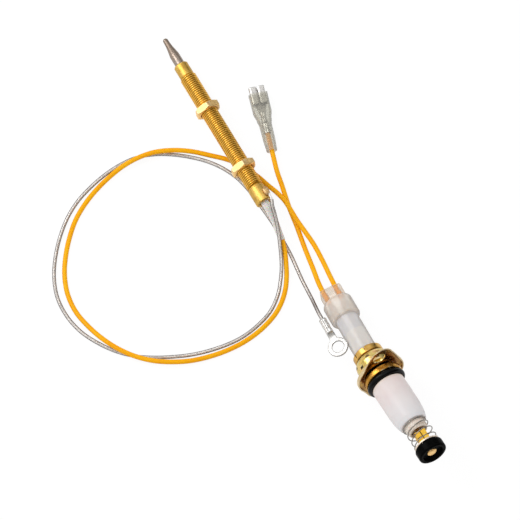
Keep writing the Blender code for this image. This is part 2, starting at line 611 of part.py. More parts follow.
def build_flange():
    """A two-hole rhombic tray, its rim towards +Z and its dome towards -Z."""
    flange = rhombus("flange_plate", 0.0, -1.5, 0.5, GOLD_PLATE)
    cut(flange, rhombus("flange_tray", 0.9, -0.6, 4.0))
    cut(flange, prism("flange_eye", magnet, 24, 8.1, 6))
    join(flange, turned("flange_dome", magnet, [
        (7.6, -0.2), (8.6, -0.2), (8.6, -6.2), (8.3, -7.6), (7.6, -8.8), (6.8, -9.5),
        (6.3, -9.6), (6.3, -8.6), (6.9, -8.1), (7.4, -7.2), (7.6, -6.2)], 24, closed=True))
    for hole, out in (("a", HOLE_OUT), ("b", -HOLE_OUT)):
        cut(flange, prism("flange_hole_" + hole, magnet, 20, HOLE_R, 6,
                          at=(out * math.sin(HOLE_TURN), out * math.cos(HOLE_TURN), 0)))


def build_o_ring():
    angles = [-2 * math.pi * k / ORING_SIDES for k in range(ORING_SIDES)]
    turned("o_ring", magnet, [
        (ORING_R + ORING_SECTION_R * math.cos(a), ORING_AT + ORING_SECTION_R * math.sin(a))
        for a in angles], 28, RUBBER, closed=True, smooth=True)


def build_hood():
    turned("hood", magnet, [
        (3.8, 34.8), (4.4, 34.8), (4.4, 33.4), (5.0, 33.3), (5.0, 30.4), (6.25, 30.3),
        (6.6, 29.7), (7.15, 28.0), (7.6, 25.2), (HOOD_R, 22.0), (HOOD_R, 6.8),
        (6.75, 6.8), (6.75, 9.9), (HOOD_BORE_R, 10.1), (HOOD_BORE_R, 22.0), (6.65, 25.4),
        (6.2, 27.8), (4.4, 29.2), (3.8, 29.8)], 28, WHITE, closed=True)


def build_magnet_core():
    """A two-legged iron core with a coil round each leg."""
    core = box("magnet_core", magnet, (4.4, 10.4, 2.4), IRON, at=(0, 0, 11.7))
    for side, y in (("left", COIL_Y), ("right", -COIL_Y)):
        join(core, prism("core_leg_" + side, magnet, 12, 1.8, 8.0, at=(0, y, 15.4)))
        pipe("coil_" + side, magnet, bore=1.95, radius=3.1, low=13.2, high=18.9,
             steps=16, mat=COPPER, at=(0, y, 0))


# -------------------------------------------------------------------- valve
STEM_R, STEM_BORE_R = 0.9, 1.05          # the stem, and the bore of what sits on it
HUB_AT = 38.8
DISC_R = 6.7

SPRING_R, SPRING_WIRE_R = 5.75, 0.25
TURNS, CLOSED_TURNS, POINTS_PER_TURN = 4.1, 0.6, 12  # closed turns are at each end
SPRING_LOW, SPRING_HIGH = 30.75, 41.85
END_CLIMB, LEAN = 0.35, 0.3              # rise of a closed end, sideways lean at mid-height


def build_armature_and_stem():
    turned("armature", magnet, [
        (0, 25.4), (5.8, 25.4), (6.0, 25.2), (6.0, 23.9), (0, 23.9)], 20, IRON)
    rod("valve_stem", magnet, STEM_R, low=25.6, high=46.5, steps=12, mat=BRASS)


def build_stem_hub():
    """A square block on the stem, cross-slotted in its lower face."""
    hub = box("stem_hub", magnet, (5.0, 5.0, 6.2), BRASS, at=(0, 0, HUB_AT))
    bevel(hub, 0.5)
    cut(hub, prism("hub_bore", magnet, 14, STEM_BORE_R, 12, at=(0, 0, HUB_AT)))
    for k in range(2):
        cut(hub, box("hub_slot_%d" % k, magnet, (12, SLOT_W, 1.8), at=(0, 0, 35.8),
                     turn=(0, 0, math.radians(90 * k))))


def build_valve_disc():
    """The spring seat, the rubber disc on it and the rivet that holds the disc."""
    turned("spring_seat_washer", magnet, [
        (STEM_BORE_R, 43.0), (5.9, 43.0), (6.0, 42.9), (6.0, 42.3), (5.9, 42.2),
        (STEM_BORE_R, 42.2)], 24, TIN, closed=True)
    turned("valve_disc", magnet, [
        (1.1, 46.3), (4.5, 46.3), (4.9, 47.9), (5.3, 48.1), (6.1, 48.1), (6.55, 47.8),
        (DISC_R, 47.3), (DISC_R, 43.9), (6.4, 43.3), (6.1, 43.15), (1.1, 43.15)],
        28, RUBBER, closed=True)
    turned("stem_rivet", magnet, [
        (0, 47.5), (1.4, 47.4), (2.2, 47.1), (2.4, 46.8), (2.3, 46.65), (0, 46.65)],
        16, BRASS)


def build_return_spring():
    """A coil closed at the hood's shoulder and at the washer, leaning a little."""
    coil = []
    for i in range(int(TURNS * POINTS_PER_TURN) + 1):
        turns = i / POINTS_PER_TURN
        body = min(max((turns - CLOSED_TURNS) / (TURNS - 2 * CLOSED_TURNS), 0.0), 1.0)
        closed = min(turns, CLOSED_TURNS) + max(0.0, turns - (TURNS - CLOSED_TURNS))
        climb = END_CLIMB * closed / CLOSED_TURNS
        angle = 2 * math.pi * turns
        lean = LEAN * math.sin(math.pi * body)
        coil.append((SPRING_R * math.cos(angle) + lean, SPRING_R * math.sin(angle),
                     SPRING_LOW + climb + lean * (1 - math.cos(angle))
                     + (SPRING_HIGH - SPRING_LOW - 2 * END_CLIMB) * body))
    solid_wire("return_spring", coil, SPRING_WIRE_R, magnet, STEEL)


# -------------------------------------------------------------------- build
build_tube()
build_tip()
build_probe_core()
build_lock_nut("lock_nut_front", 53.4)
build_lock_nut("lock_nut_rear", 20.0)
build_main_lead()
build_switch_lead()
build_ground_lead()
build_solder_joint()
build_ring_terminal()
build_spade_terminal()
build_spade_boot()
build_plug()
build_clamp_nut()
build_magnet_base()
build_flange()
build_o_ring()
build_hood()
build_magnet_core()
build_armature_and_stem()
build_stem_hub()
build_valve_disc()
build_return_spring()
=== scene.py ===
"""Gas heater thermocouple: fine meshes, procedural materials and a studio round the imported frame.

It lies on the floor (z = 0) with the threaded probe pointing to the back left (-x, +y) and the
magnet unit to the front right. The leads loop round on the left; the spade terminal is at the back.
Lengths are in millimetres until they reach Blender. Each sub-assembly has its own frame:
  PROBE   z from the rear of the tube to the tip      MAGNET  z from the clamp nut to the valve
  PLUG    z from the magnet unit back to the leads    SPADE, RING  z from the terminal to its wire
"""
import math

import bmesh
import bpy
from mathutils import Matrix, Vector


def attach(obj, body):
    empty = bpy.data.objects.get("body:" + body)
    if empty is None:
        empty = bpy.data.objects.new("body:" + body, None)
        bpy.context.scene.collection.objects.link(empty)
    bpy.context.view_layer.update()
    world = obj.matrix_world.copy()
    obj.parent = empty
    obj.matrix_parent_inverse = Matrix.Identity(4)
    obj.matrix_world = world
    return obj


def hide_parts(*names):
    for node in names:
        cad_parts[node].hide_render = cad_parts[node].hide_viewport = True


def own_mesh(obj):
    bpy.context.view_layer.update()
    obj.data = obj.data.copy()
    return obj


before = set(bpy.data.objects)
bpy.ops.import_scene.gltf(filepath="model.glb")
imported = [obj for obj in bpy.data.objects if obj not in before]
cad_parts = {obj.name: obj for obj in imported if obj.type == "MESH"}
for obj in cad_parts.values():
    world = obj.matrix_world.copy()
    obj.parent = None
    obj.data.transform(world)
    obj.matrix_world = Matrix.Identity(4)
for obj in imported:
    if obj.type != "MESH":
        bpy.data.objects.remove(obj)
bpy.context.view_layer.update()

MM = 0.001
TAU = 2 * math.pi

# ------------------------------------------------------------ layout
SHIFT = Vector((6.42, -1.45, 0.0))      # from layout coordinates to the frame's
PROBE_REAR = (2.0, 24.9, 8.9)
PROBE_AXIS = (-0.4916, 0.8701, -0.0344)
MAGNET_CENTRE = (53.8, -60.27, 17.3)
MAGNET_AXIS = (0.4699, -0.8523, 0.2300)
NUT_MOUTH = 15.3                        # from the magnet centre back to the plug's origin
PLUG_AXIS = (-0.4313, 0.8724, -0.2300)
SPADE_FRONT = (-2.0, 84.1, 2.9)
SPADE_AXIS = (0.2256, -0.9742, 0.0)
RING_CENTRE = (34.9, -46.2, 13.7)
RING_AXIS = (-0.431, 0.880, -0.200)
RING_NORMAL = (-0.187, -0.0915, 0.978)
PORT_X = 3.1                            # the two contacts, either side of the plug's axis


def axes(origin, z_axis, y_hint=(0.0, 0.0, 1.0)):
    """A frame at a layout point, its y as near to y_hint as its z allows."""
    z = Vector(z_axis).normalized()
    y = Vector(y_hint)
    y = (y - z * y.dot(z)).normalized()
    x = y.cross(z)
    frame = Matrix((x, y, z)).transposed().to_4x4()
    frame.translation = (Vector(origin) + SHIFT) * MM
    return frame


WORLD = Matrix.Translation(SHIFT * MM)
PROBE = axes(PROBE_REAR, PROBE_AXIS)
MAGNET = axes(MAGNET_CENTRE, MAGNET_AXIS)
PLUG = axes(Vector(MAGNET_CENTRE) - Vector(MAGNET_AXIS).normalized() * NUT_MOUTH, PLUG_AXIS)
SPADE = axes(SPADE_FRONT, SPADE_AXIS)
RING = axes(RING_CENTRE, RING_AXIS, RING_NORMAL)


def on(frame, x, y, z):
    """The layout point of a point in a sub-assembly's frame."""
    return (frame @ (Vector((x, y, z)) * MM)) / MM - SHIFT


# ------------------------------------------------------------ objects
MATERIALS = {}


def add_object(name, data):
    ob = bpy.data.objects.new(name, data)
    bpy.context.scene.collection.objects.link(ob)
    return ob


def build(name, mesh, weld=True):
    """Blender mesh from (vertices in mm, faces), its normals made consistent."""
    verts, faces = mesh
    data = bpy.data.meshes.new(name)
    data.from_pydata([(v[0] * MM, v[1] * MM, v[2] * MM) for v in verts], [], faces)
    bm = bmesh.new()
    bm.from_mesh(data)
    if weld:
        bmesh.ops.remove_doubles(bm, verts=bm.verts, dist=1e-7)
    bmesh.ops.recalc_face_normals(bm, faces=bm.faces)
    bm.to_mesh(data)
    bm.free()
    return data


def shade(ob, sharp):
    ob.data.shade_smooth()
    ob.data.set_sharp_from_angle(angle=math.radians(sharp))


def piece(name, mesh, frame, material, body="harness", sharp=32.0, extra=(), weld=True):
    """The fine piece that stands in for the frame's piece of that name."""
    data = build(name + "_fine", mesh, weld)
    ob = add_object(name + "_fine", data)
    ob.matrix_world = frame
    for key in (material, *extra):
        data.materials.append(MATERIALS[key])
    shade(ob, sharp)
    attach(ob, body)
    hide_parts(name)
    return ob


def bevel(ob, width, sharp):
    mod = ob.modifiers.new("Bevel", "BEVEL")
    mod.width = width * MM
    mod.segments = 3
    mod.limit_method = "ANGLE"
    mod.angle_limit = math.radians(sharp)


def cut(ob, tools, operation="DIFFERENCE", material=None):
    """Booleans with helper meshes in the object's frame, applied at once."""
    for mesh in tools:
        data = build("tool", mesh)
        tool = add_object("tool", data)
        tool.matrix_world = ob.matrix_world
        mod = ob.modifiers.new("Cut", "BOOLEAN")
        mod.operation = operation
        mod.solver = "EXACT"
        mod.object = tool
        if material:
            data.materials.append(MATERIALS[material])
            mod.material_mode = "TRANSFER"
        bpy.context.view_layer.update()
        graph = bpy.context.evaluated_depsgraph_get()
        baked = bpy.data.meshes.new_from_object(ob.evaluated_get(graph))
        ob.modifiers.clear()
        ob.data = baked
        bpy.data.objects.remove(tool, do_unlink=True)


# ------------------------------------------------------------ shapes, as (vertices, faces)
def smooth_step(t):
    return t * t * (3 - 2 * t)


def bell(x, centre, width):
    return math.exp(-((x - centre) / width) ** 2)


def turn_from(angle, reference):
    """Angle from a reference direction, between -pi and pi."""
    return (angle - reference + math.pi) % TAU - math.pi


def skin(rows, closed=False):
    """Quads between neighbouring rings of points; closed joins the last ring to the first."""
    count, segs = len(rows), len(rows[0])
    faces = []
    for i in range(count if closed else count - 1):
        j = (i + 1) % count
        for k in range(segs):
            m = (k + 1) % segs
            faces.append((i * segs + k, i * segs + m, j * segs + m, j * segs + k))
    return [v for row in rows for v in row], faces


def join(*meshes):
    verts, faces = [], []
    for more_verts, more_faces in meshes:
        base = len(verts)
        verts += [tuple(p) for p in more_verts]
        faces += [tuple(i + base for i in face) for face in more_faces]
    return verts, faces


def shift_mesh(mesh, at=(0, 0, 0), turn=None):
    verts, faces = mesh
    turn = turn or Matrix.Identity(3)
    return [tuple(turn @ Vector(p) + Vector(at)) for p in verts], faces


def fillet(points, radius=0.12, steps=3, closed=False):
    """A profile with its corners rounded; a third value on a point is its own radius."""
    corners = [Vector(p[:2]) for p in points]
    radii = [p[2] if len(p) > 2 else radius for p in points]
    count = len(corners)
    out = []
    for i, corner in enumerate(corners):
        if not closed and i in (0, count - 1):
            out.append(corner)
            continue
        back = corners[i - 1] - corner
        ahead = corners[(i + 1) % count] - corner
        angle = back.angle(ahead, math.pi)
        if angle > math.pi - 0.12 or radii[i] <= 0:
            out.append(corner)
            continue
        trim = min(radii[i] / math.tan(angle / 2), 0.45 * back.length, 0.45 * ahead.length)
        r = trim * math.tan(angle / 2)
        back_dir = back / back.length
        ahead_dir = ahead / ahead.length
        centre = corner + (back_dir + ahead_dir).normalized() * (r / math.sin(angle / 2))
        start = corner + back_dir * trim - centre
        end = corner + ahead_dir * trim - centre
        turn = start.angle_signed(end)
        for k in range(steps + 1):
            a = -turn * k / steps
            out.append(centre + Vector((start.x * math.cos(a) - start.y * math.sin(a),
                                        start.x * math.sin(a) + start.y * math.cos(a))))
    return [(max(p.x, 0.0), p.y) for p in out]


def lathe(profile, segs, shape=None):
    """Turns (radius, z) points; a profile that starts off the axis closes on itself.

    shape(radius, z, angle) may move each point, giving its new radius and z.
    """
    verts, faces, rings = [], [], []
    for radius, z in profile:
        if radius < 1e-6:
            rings.append([len(verts)])
            verts.append((0.0, 0.0, z))
            continue
        rings.append(range(len(verts), len(verts) + segs))
        for k in range(segs):
            a = TAU * k / segs
            r, height = shape(radius, z, a) if shape else (radius, z)
            verts.append((r * math.cos(a), r * math.sin(a), height))
    pairs = list(zip(rings, rings[1:]))
    if profile[0][0] > 0:
        pairs.append((rings[-1], rings[0]))
    for one, two in pairs:
        for k in range(segs):
            m = (k + 1) % segs
            if len(one) == 1:
                faces.append((one[0], two[k], two[m]))
            elif len(two) == 1:
                faces.append((one[k], one[m], two[0]))
            else:
                faces.append((one[k], one[m], two[m], two[k]))
    return verts, faces


def turned(name, frame, profile, material, segs=64, radius=0.12, steps=3, shape=None,
           at=(0, 0, 0), **options):
    """A lathed piece from (radius, z[, corner radius]) points."""
    profile = fillet(profile, radius, steps, closed=profile[0][0] > 0)
    verts, faces = lathe(profile, segs, shape)
    verts = [(v[0] + at[0], v[1] + at[1], v[2] + at[2]) for v in verts]
    return piece(name, (verts, faces), frame, material, sharp=40.0, **options)


def box(size, at=(0, 0, 0), turn=None):
    x, y, z = (s / 2 for s in size)
    verts = [(sx * x, sy * y, sz * z) for sz in (-1, 1) for sy in (-1, 1) for sx in (-1, 1)]
    faces = [(0, 2, 3, 1), (4, 5, 7, 6), (0, 1, 5, 4), (2, 6, 7, 3), (0, 4, 6, 2), (1, 3, 7, 5)]
    return shift_mesh((verts, faces), at, turn)


def rod(radius, z0, z1, segs, at=(0, 0, 0)):
    return shift_mesh(lathe([(0, z1), (radius, z1), (radius, z0), (0, z0)], segs), at)


def smooth_path(points, per_span=24):
    """Centripetal curve through the points."""
    pts = [Vector(p) for p in points]
    pts = [pts[0] * 2 - pts[1]] + pts + [pts[-1] * 2 - pts[-2]]
    out = []
    for i in range(1, len(pts) - 2):
        p0, p1, p2, p3 = pts[i - 1:i + 3]
        t01 = max((p1 - p0).length, 1e-6) ** 0.5
        t12 = max((p2 - p1).length, 1e-6) ** 0.5
        t23 = max((p3 - p2).length, 1e-6) ** 0.5
        m1 = (p2 - p1) + ((p1 - p0) / t01 - (p2 - p0) / (t01 + t12)) * t12
        m2 = (p2 - p1) + ((p3 - p2) / t23 - (p3 - p1) / (t12 + t23)) * t12
        for k in range(per_span):
            t = k / per_span
            out.append(p1 * (2 * t**3 - 3 * t**2 + 1) + m1 * (t**3 - 2 * t**2 + t)
                       + p2 * (-2 * t**3 + 3 * t**2) + m2 * (t**3 - t**2))
    out.append(pts[-2])
    return out


def even(points, step):
    """Points evenly spaced along a dense path."""
    run = [0.0]
    for a, b in zip(points, points[1:]):
        run.append(run[-1] + (b - a).length)
    count = max(2, round(run[-1] / step))
    out, j = [], 0
    for k in range(count + 1):
        s = run[-1] * k / count
        while j < len(run) - 2 and run[j + 1] < s:
            j += 1
        share = (s - run[j]) / max(run[j + 1] - run[j], 1e-9)
        out.append(points[j].lerp(points[j + 1], min(share, 1.0)))
    return out


def nearest(points, target):
    target = Vector(target)
    return min(range(len(points)), key=lambda i: (points[i] - target).length)


def transport(points):
    """Tangent, normal and binormal carried along a path without twist."""
    last = len(points) - 1
    tangents = [(points[min(i + 1, last)] - points[max(i - 1, 0)]).normalized()
                for i in range(last + 1)]
    hint = Vector((0, 0, 1)) if abs(tangents[0].z) < 0.9 else Vector((1, 0, 0))
    normal = (hint - tangents[0] * hint.dot(tangents[0])).normalized()
    out = []
    for tangent in tangents:
        normal = (normal - tangent * normal.dot(tangent)).normalized()
        out.append((tangent, normal, tangent.cross(normal)))
    return out


def circle(centre, triad, radius, segs):
    """Ring of points across a path."""
    _, normal, binormal = triad
    return [centre + normal * (radius * math.cos(TAU * k / segs))
            + binormal * (radius * math.sin(TAU * k / segs)) for k in range(segs)]


def sweep(points, radius, segs):
    """Solid round bar along a path."""
    verts, faces = skin([circle(p, triad, radius, segs)
                         for p, triad in zip(points, transport(points))])
    top = (len(points) - 1) * segs
    start, end = len(verts), len(verts) + 1
    verts += [points[0], points[-1]]
    for k in range(segs):
        m = (k + 1) % segs
        faces.append((start, m, k))
        faces.append((end, top + k, top + m))
    return verts, faces


def pipe(points, outer, inner, segs=28, lip=0.08, taper=1.0):
    """Hollow tube along a path, its rims slightly rounded; taper scales its far end."""
    triads = transport(points)
    last = len(points) - 1
    # index on the path, radius, shift along it
    stations = [(0, outer - lip, 0), (0, outer, lip)]
    stations += [(i, outer, 0) for i in range(1, last)]
    stations += [(last, outer, -lip), (last, outer - lip, 0),
                 (last, inner + lip, 0), (last, inner, -lip)]
    stations += [(i, inner, 0) for i in range(last - 1, 0, -1)]
    stations += [(0, inner, lip), (0, inner + lip, 0)]
    return skin([circle(points[i] + triads[i][0] * shift, triads[i],
                        r * (1.0 + (taper - 1.0) * i / last), segs)
                 for i, r, shift in stations], closed=True)


def loft(sections, segs, wall=None):
    """Superellipse sections (z, half width, half height, power, centre y) joined into a skin."""
    def ring(section, inset=0.0, shift=0.0):
        z, half_w, half_h, power, centre_y = section
        row = []
        for k in range(segs):
            c, s = math.cos(TAU * k / segs), math.sin(TAU * k / segs)
            row.append((math.copysign(abs(c) ** (2 / power), c) * (half_w - inset),
                        centre_y + math.copysign(abs(s) ** (2 / power), s) * (half_h - inset),
                        z + shift))
        return row

    fine = []
    for a, b in zip(sections, sections[1:]):
        steps = max(1, int(abs(b[0] - a[0]) / 0.5))
        for i in range(steps):
            t = i / steps
            ease = smooth_step(t)
            fine.append([a[0] + (b[0] - a[0]) * t]
                        + [p + (q - p) * ease for p, q in zip(a[1:], b[1:])])
    fine.append(sections[-1])
    rows = [ring(section) for section in fine]
    if wall:
        lip = wall * 0.4
        first, last = fine[0], fine[-1]
        rows = ([ring(first, lip), ring(first, shift=lip)] + rows[1:-1]
                + [ring(last, shift=-lip), ring(last, lip), ring(last, wall - lip),
                   ring(last, wall, -lip)]
                + [ring(section, wall) for section in fine[-2:0:-1]]
                + [ring(first, wall, lip), ring(first, wall - lip)])
        return skin(rows, closed=True)
    verts, faces = skin(rows)
    faces.append(tuple(range(segs))[::-1])
    faces.append(tuple((len(rows) - 1) * segs + k for k in range(segs)))
    return verts, faces


# ------------------------------------------------------------ shader nodes
class Nodes:
    """A node tree under construction."""

    def __init__(self, tree):
        self.tree = tree

    def node(self, kind, **props):
        n = self.tree.nodes.new(kind)
        for key, value in props.items():
            setattr(n, key, value)
        return n

    def link(self, a, b):
        self.tree.links.new(a, b)

    def put(self, socket, value):
        if isinstance(value, bpy.types.NodeSocket):
            self.link(value, socket)
        elif isinstance(value, tuple) and len(value) == 3 and socket.type == "RGBA":
            socket.default_value = (*value, 1.0)
        else:
            socket.default_value = value

    def math(self, operation, a, b=0.0):
        n = self.node("ShaderNodeMath", operation=operation)
        self.put(n.inputs[0], a)
        self.put(n.inputs[1], b)
        return n.outputs[0]

    def plus(self, a, b):
        return self.math("ADD", a, b)

    def times(self, a, b):
        return self.math("MULTIPLY", a, b)

    def ramp(self, fac, stops):
        """Colour ramp from (position, colour) stops."""
        n = self.node("ShaderNodeValToRGB")
        elements = n.color_ramp.elements
        while len(elements) < len(stops):
            elements.new(0.5)
        for element, (position, colour) in zip(elements, stops):
            element.position = position
            element.color = (*colour, 1.0)
        self.put(n.inputs["Fac"], fac)
        return n.outputs["Color"]

    def mix_shader(self, fac, first, second):
        n = self.node("ShaderNodeMixShader")
        self.put(n.inputs["Fac"], fac)
        self.link(first.outputs[0], n.inputs[1])
        self.link(second.outputs[0], n.inputs[2])
        return n.outputs[0]


class Shader(Nodes):
    """A material under construction. Texture space is the piece's own, in millimetres."""

    def __init__(self, name):
        material = bpy.data.materials.new(name)
        material.use_nodes = True
        super().__init__(material.node_tree)
        MATERIALS[name] = material
        self.bsdf = self.tree.nodes["Principled BSDF"]
        self.surface = self.tree.nodes["Material Output"].inputs["Surface"]
        coord = self.node("ShaderNodeTexCoord")
        scale = self.node("ShaderNodeVectorMath", operation="SCALE")
        scale.inputs["Scale"].default_value = 1 / MM
        self.link(coord.outputs["Object"], scale.inputs[0])
        self.place = scale.outputs[0]

    def set(self, **inputs):
        for key, value in inputs.items():
            self.put(self.bsdf.inputs[key.replace("_", " ")], value)

    def texture(self, kind, vector=None, output="Fac", inputs=(), **props):
        n = self.node(kind, **props)
        self.link(vector or self.place, n.inputs["Vector"])
        for key, value in dict(inputs).items():
            n.inputs[key].default_value = value
        return n.outputs[output]

    def noise(self, scale, detail=3.0, rough=0.6, stretch=None, seed=0.0, distortion=0.0):
        vector = self.place
        if stretch or seed:
            n = self.node("ShaderNodeMapping")
            n.inputs["Scale"].default_value = stretch or (1, 1, 1)
            n.inputs["Location"].default_value = (seed, seed * 0.7, seed * 1.3)
            self.link(self.place, n.inputs["Vector"])
            vector = n.outputs[0]
        return self.texture("ShaderNodeTexNoise", vector, inputs={
            "Scale": scale, "Detail": detail, "Roughness": rough, "Distortion": distortion})

    def wave(self, scale, direction, distortion=0.0, detail=0.0):
        return self.texture("ShaderNodeTexWave", bands_direction=direction, inputs={
            "Scale": scale, "Distortion": distortion, "Detail": detail})

    def mix(self, fac, a, b):
        n = self.node("ShaderNodeMix", data_type="RGBA")
        self.put(n.inputs["Factor"], fac)
        self.put(n.inputs[6], a)
        self.put(n.inputs[7], b)
        return n.outputs[2]

    def span(self, value, start, end, to=(0.0, 1.0)):
        """The range from start to end mapped onto another, held at its ends."""
        n = self.node("ShaderNodeMapRange", clamp=True)
        self.put(n.inputs["Value"], value)
        n.inputs["From Min"].default_value = start
        n.inputs["From Max"].default_value = end
        n.inputs["To Min"].default_value = to[0]
        n.inputs["To Max"].default_value = to[1]
        return n.outputs[0]

    def spread(self, noise, low, high):
        """The useful middle of a noise spread from low to high."""
        return self.span(noise, 0.3, 0.7, to=(low, high))

    def axis(self, which):
        n = self.node("ShaderNodeSeparateXYZ")
        self.link(self.place, n.inputs[0])
        return n.outputs["XYZ".index(which)]

    def facing(self, blend):
        n = self.node("ShaderNodeLayerWeight")
        n.inputs["Blend"].default_value = blend
        return n.outputs["Facing"]

    def edges(self, start, end):
        n = self.node("ShaderNodeNewGeometry")
        return self.span(n.outputs["Pointiness"], start, end)

    def bump(self, height, strength, depth):
        """Adds relief over what is there; depth in mm."""
        n = self.node("ShaderNodeBump")
        n.inputs["Strength"].default_value = strength
        n.inputs["Distance"].default_value = depth * MM
        self.put(n.inputs["Height"], height)
        normal = self.bsdf.inputs["Normal"]
        if normal.is_linked:
            self.link(normal.links[0].from_socket, n.inputs["Normal"])
        self.link(n.outputs[0], normal)

    def subsurface(self, weight, scale, radius=None):
        self.set(Subsurface_Weight=weight, Subsurface_Scale=scale)
        if radius:
            self.bsdf.inputs["Subsurface Radius"].default_value = radius

    def see_through(self, amount, tint):
        """Mixes in clear transmission without refraction, by amount (0 solid, 1 clear)."""
        clear = self.node("ShaderNodeBsdfTransparent")
        self.put(clear.inputs["Color"], tint)
        self.link(self.mix_shader(amount, self.bsdf, clear), self.surface)


# ------------------------------------------------------------ materials
def metal(name, dark, mid, bright, rough, lines=0.0, worn=None, tone=0.35, scratch=0.35):
    """Metal with tarnish clouds, fine tool marks, scratches and brighter worn edges.

    lines is the scale of the turning marks, tone that of the clouds.
    """
    s = Shader(name)
    clouds = s.noise(tone, detail=4)
    fine = s.noise(4.0, seed=3.1)
    tint = s.ramp(s.plus(s.times(clouds, 0.75), s.times(fine, 0.25)),
                  [(0.30, dark), (0.50, mid), (0.68, bright)])
    if worn:
        tint = s.mix(s.times(s.edges(0.52, 0.60), 0.8), tint, worn)
    marks = s.noise(9.0, detail=2, rough=0.7, stretch=(1.0, 0.08, 1.0), seed=7.7)
    s.set(Base_Color=tint, Metallic=1.0,
          Roughness=s.plus(s.spread(clouds, rough - 0.05, rough + 0.10), s.times(marks, 0.06)))
    s.bump(s.times(marks, scratch), strength=0.25, depth=0.02)
    s.bump(s.noise(2.2, detail=4, rough=0.65, seed=1.9), strength=0.1, depth=0.05)
    if lines:
        s.bump(s.wave(lines, "Z", distortion=0.4, detail=2), strength=0.25, depth=0.02)
        s.set(Anisotropic=0.35)


def brass_thread():
    """Brass with painted shade in the thread's roots and a painted highlight on its crests."""
    s = Shader("brass_thread")
    x, y = s.axis("X"), s.axis("Y")
    radial = s.math("SQRT", s.plus(s.times(x, x), s.times(y, y)))
    # Painted shade in the thread's roots and a painted highlight on its crests; the cloud noise
    # between them is tone.
    crest = s.span(radial, 3.56, 3.94)
    clouds = s.noise(0.28, detail=4)
    root_shade = s.mix(s.span(clouds, 0.35, 0.65), (0.46, 0.20, 0.012), (0.56, 0.27, 0.02))
    flank = s.mix(s.span(clouds, 0.35, 0.65), (0.76, 0.38, 0.03), (0.88, 0.48, 0.055))
    # top: the painted highlight colour for the crests
    top = s.mix(s.spread(s.noise(2.0, seed=5.0), 0.0, 1.0), (0.94, 0.56, 0.09), (1.0, 0.66, 0.16))
    body = s.mix(s.span(crest, 0.05, 0.62), root_shade, flank)
    s.set(Base_Color=s.mix(s.span(crest, 0.62, 0.98), body, top), Metallic=1.0,
          Roughness=s.plus(s.span(crest, 0.0, 1.0, to=(0.42, 0.22)), s.times(clouds, 0.10)))
    s.bump(s.noise(6.0), strength=0.15, depth=0.03)


def junction_steel():
    """Steel discoloured by heat towards the probe's tip, with soot."""
    s = Shader("junction_steel")
    heat = s.plus(s.span(s.axis("Z"), 78.0, 95.0), s.times(s.noise(0.9, detail=4), 0.35))
    base = s.ramp(s.times(heat, 0.74),
                  [(0.10, (0.42, 0.36, 0.31)), (0.40, (0.36, 0.29, 0.24)),
                   (0.70, (0.30, 0.23, 0.18)), (0.95, (0.38, 0.31, 0.26))])
    soot = s.span(s.noise(2.6, detail=5, rough=0.7, seed=2.0), 0.50, 0.72)
    s.set(Base_Color=s.mix(s.times(soot, 0.5), base, (0.15, 0.12, 0.10)), Metallic=0.95,
          Roughness=s.spread(s.noise(1.6, detail=4, seed=4.0), 0.28, 0.48))
    s.bump(s.wave(1.4, "Z", distortion=1.2, detail=3), strength=0.25, depth=0.03)
    s.bump(s.noise(5.0, detail=4), strength=0.35, depth=0.04)


def passivated_steel():
    """Zinc with a yellow passivation: gold to green, straw and rose, scuffed at its edges, with
    painted shade in brown on the tray's inside.
    """
    s = Shader("yellow_passivated_steel")
    drift = s.noise(0.17, rough=0.55, seed=11.0, distortion=0.6)
    film_and_shade = s.ramp(drift, [(0.30, (0.62, 0.47, 0.12)), (0.42, (0.86, 0.60, 0.18)),
                          (0.50, (0.78, 0.66, 0.24)), (0.58, (0.92, 0.62, 0.24)),
                          (0.70, (0.90, 0.50, 0.26))])
    # Painted shade, brown, where z is above the sheet's lower face: the tray's inside.
    tray_shade = s.mix(s.span(s.noise(0.5, seed=21.0), 0.45, 0.62),
                  (0.30, 0.12, 0.03), (0.58, 0.32, 0.06))
    film_and_shade = s.mix(s.times(s.span(s.axis("Z"), -1.2, -0.9), 0.85), film_and_shade, tray_shade)
    blotches = s.span(s.noise(1.1, detail=4, seed=2.2), 0.45, 0.7)
    film_and_shade = s.mix(s.times(blotches, 0.35), film_and_shade, (0.50, 0.30, 0.07))
    film_and_shade = s.mix(s.times(s.edges(0.53, 0.62), 0.75), film_and_shade, (0.95, 0.86, 0.66))
    s.set(Base_Color=film_and_shade, Metallic=1.0,
          Roughness=s.plus(s.spread(drift, 0.14, 0.27), s.times(s.noise(5.0), 0.05)))
    s.bump(s.noise(0.8, seed=9.0), strength=0.25, depth=0.12)
    s.bump(s.noise(7.0), strength=0.12, depth=0.02)


def orange_insulation():
    s = Shader("orange_insulation")
    drift = s.noise(0.10, rough=0.5)
    colour = s.ramp(drift, [(0.32, (0.98, 0.41, 0.0)), (0.55, (1.0, 0.455, 0.0)),
                            (0.72, (1.0, 0.49, 0.003))])
    # Painted shade: the orange darkens towards the outline.
    rim = s.times(s.span(s.facing(0.35), 0.35, 1.0), 0.55)
    colour = s.mix(rim, colour, (0.62, 0.20, 0.004))
    dust = s.span(s.noise(1.3, detail=4, rough=0.7, seed=6.0), 0.62, 0.80)
    s.set(Base_Color=s.mix(s.times(dust, 0.15), colour, (0.85, 0.52, 0.20)),
          Roughness=s.spread(drift, 0.34, 0.46), Specular_IOR_Level=0.16)
    s.subsurface(weight=0.12, scale=0.5, radius=(0.0012, 0.0005, 0.0002))
    s.bump(s.noise(3.5, detail=4), strength=0.12, depth=0.05)


def clear_jacket():
    s = Shader("clear_jacket")
    rim = s.facing(0.35)
    # Painted shade: dark along its edges, pale in the middle.
    s.set(Base_Color=s.mix(s.span(rim, 0.12, 0.30), (0.90, 0.88, 0.86), (0.09, 0.06, 0.05)),
          Roughness=s.spread(s.noise(1.2), 0.08, 0.18), Specular_IOR_Level=0.7)
    s.bump(s.noise(1.0, rough=0.5), strength=0.08, depth=0.05)
    s.see_through(s.span(rim, 0.10, 0.34, to=(0.95, 0.10)), tint=(1.0, 0.99, 0.98))


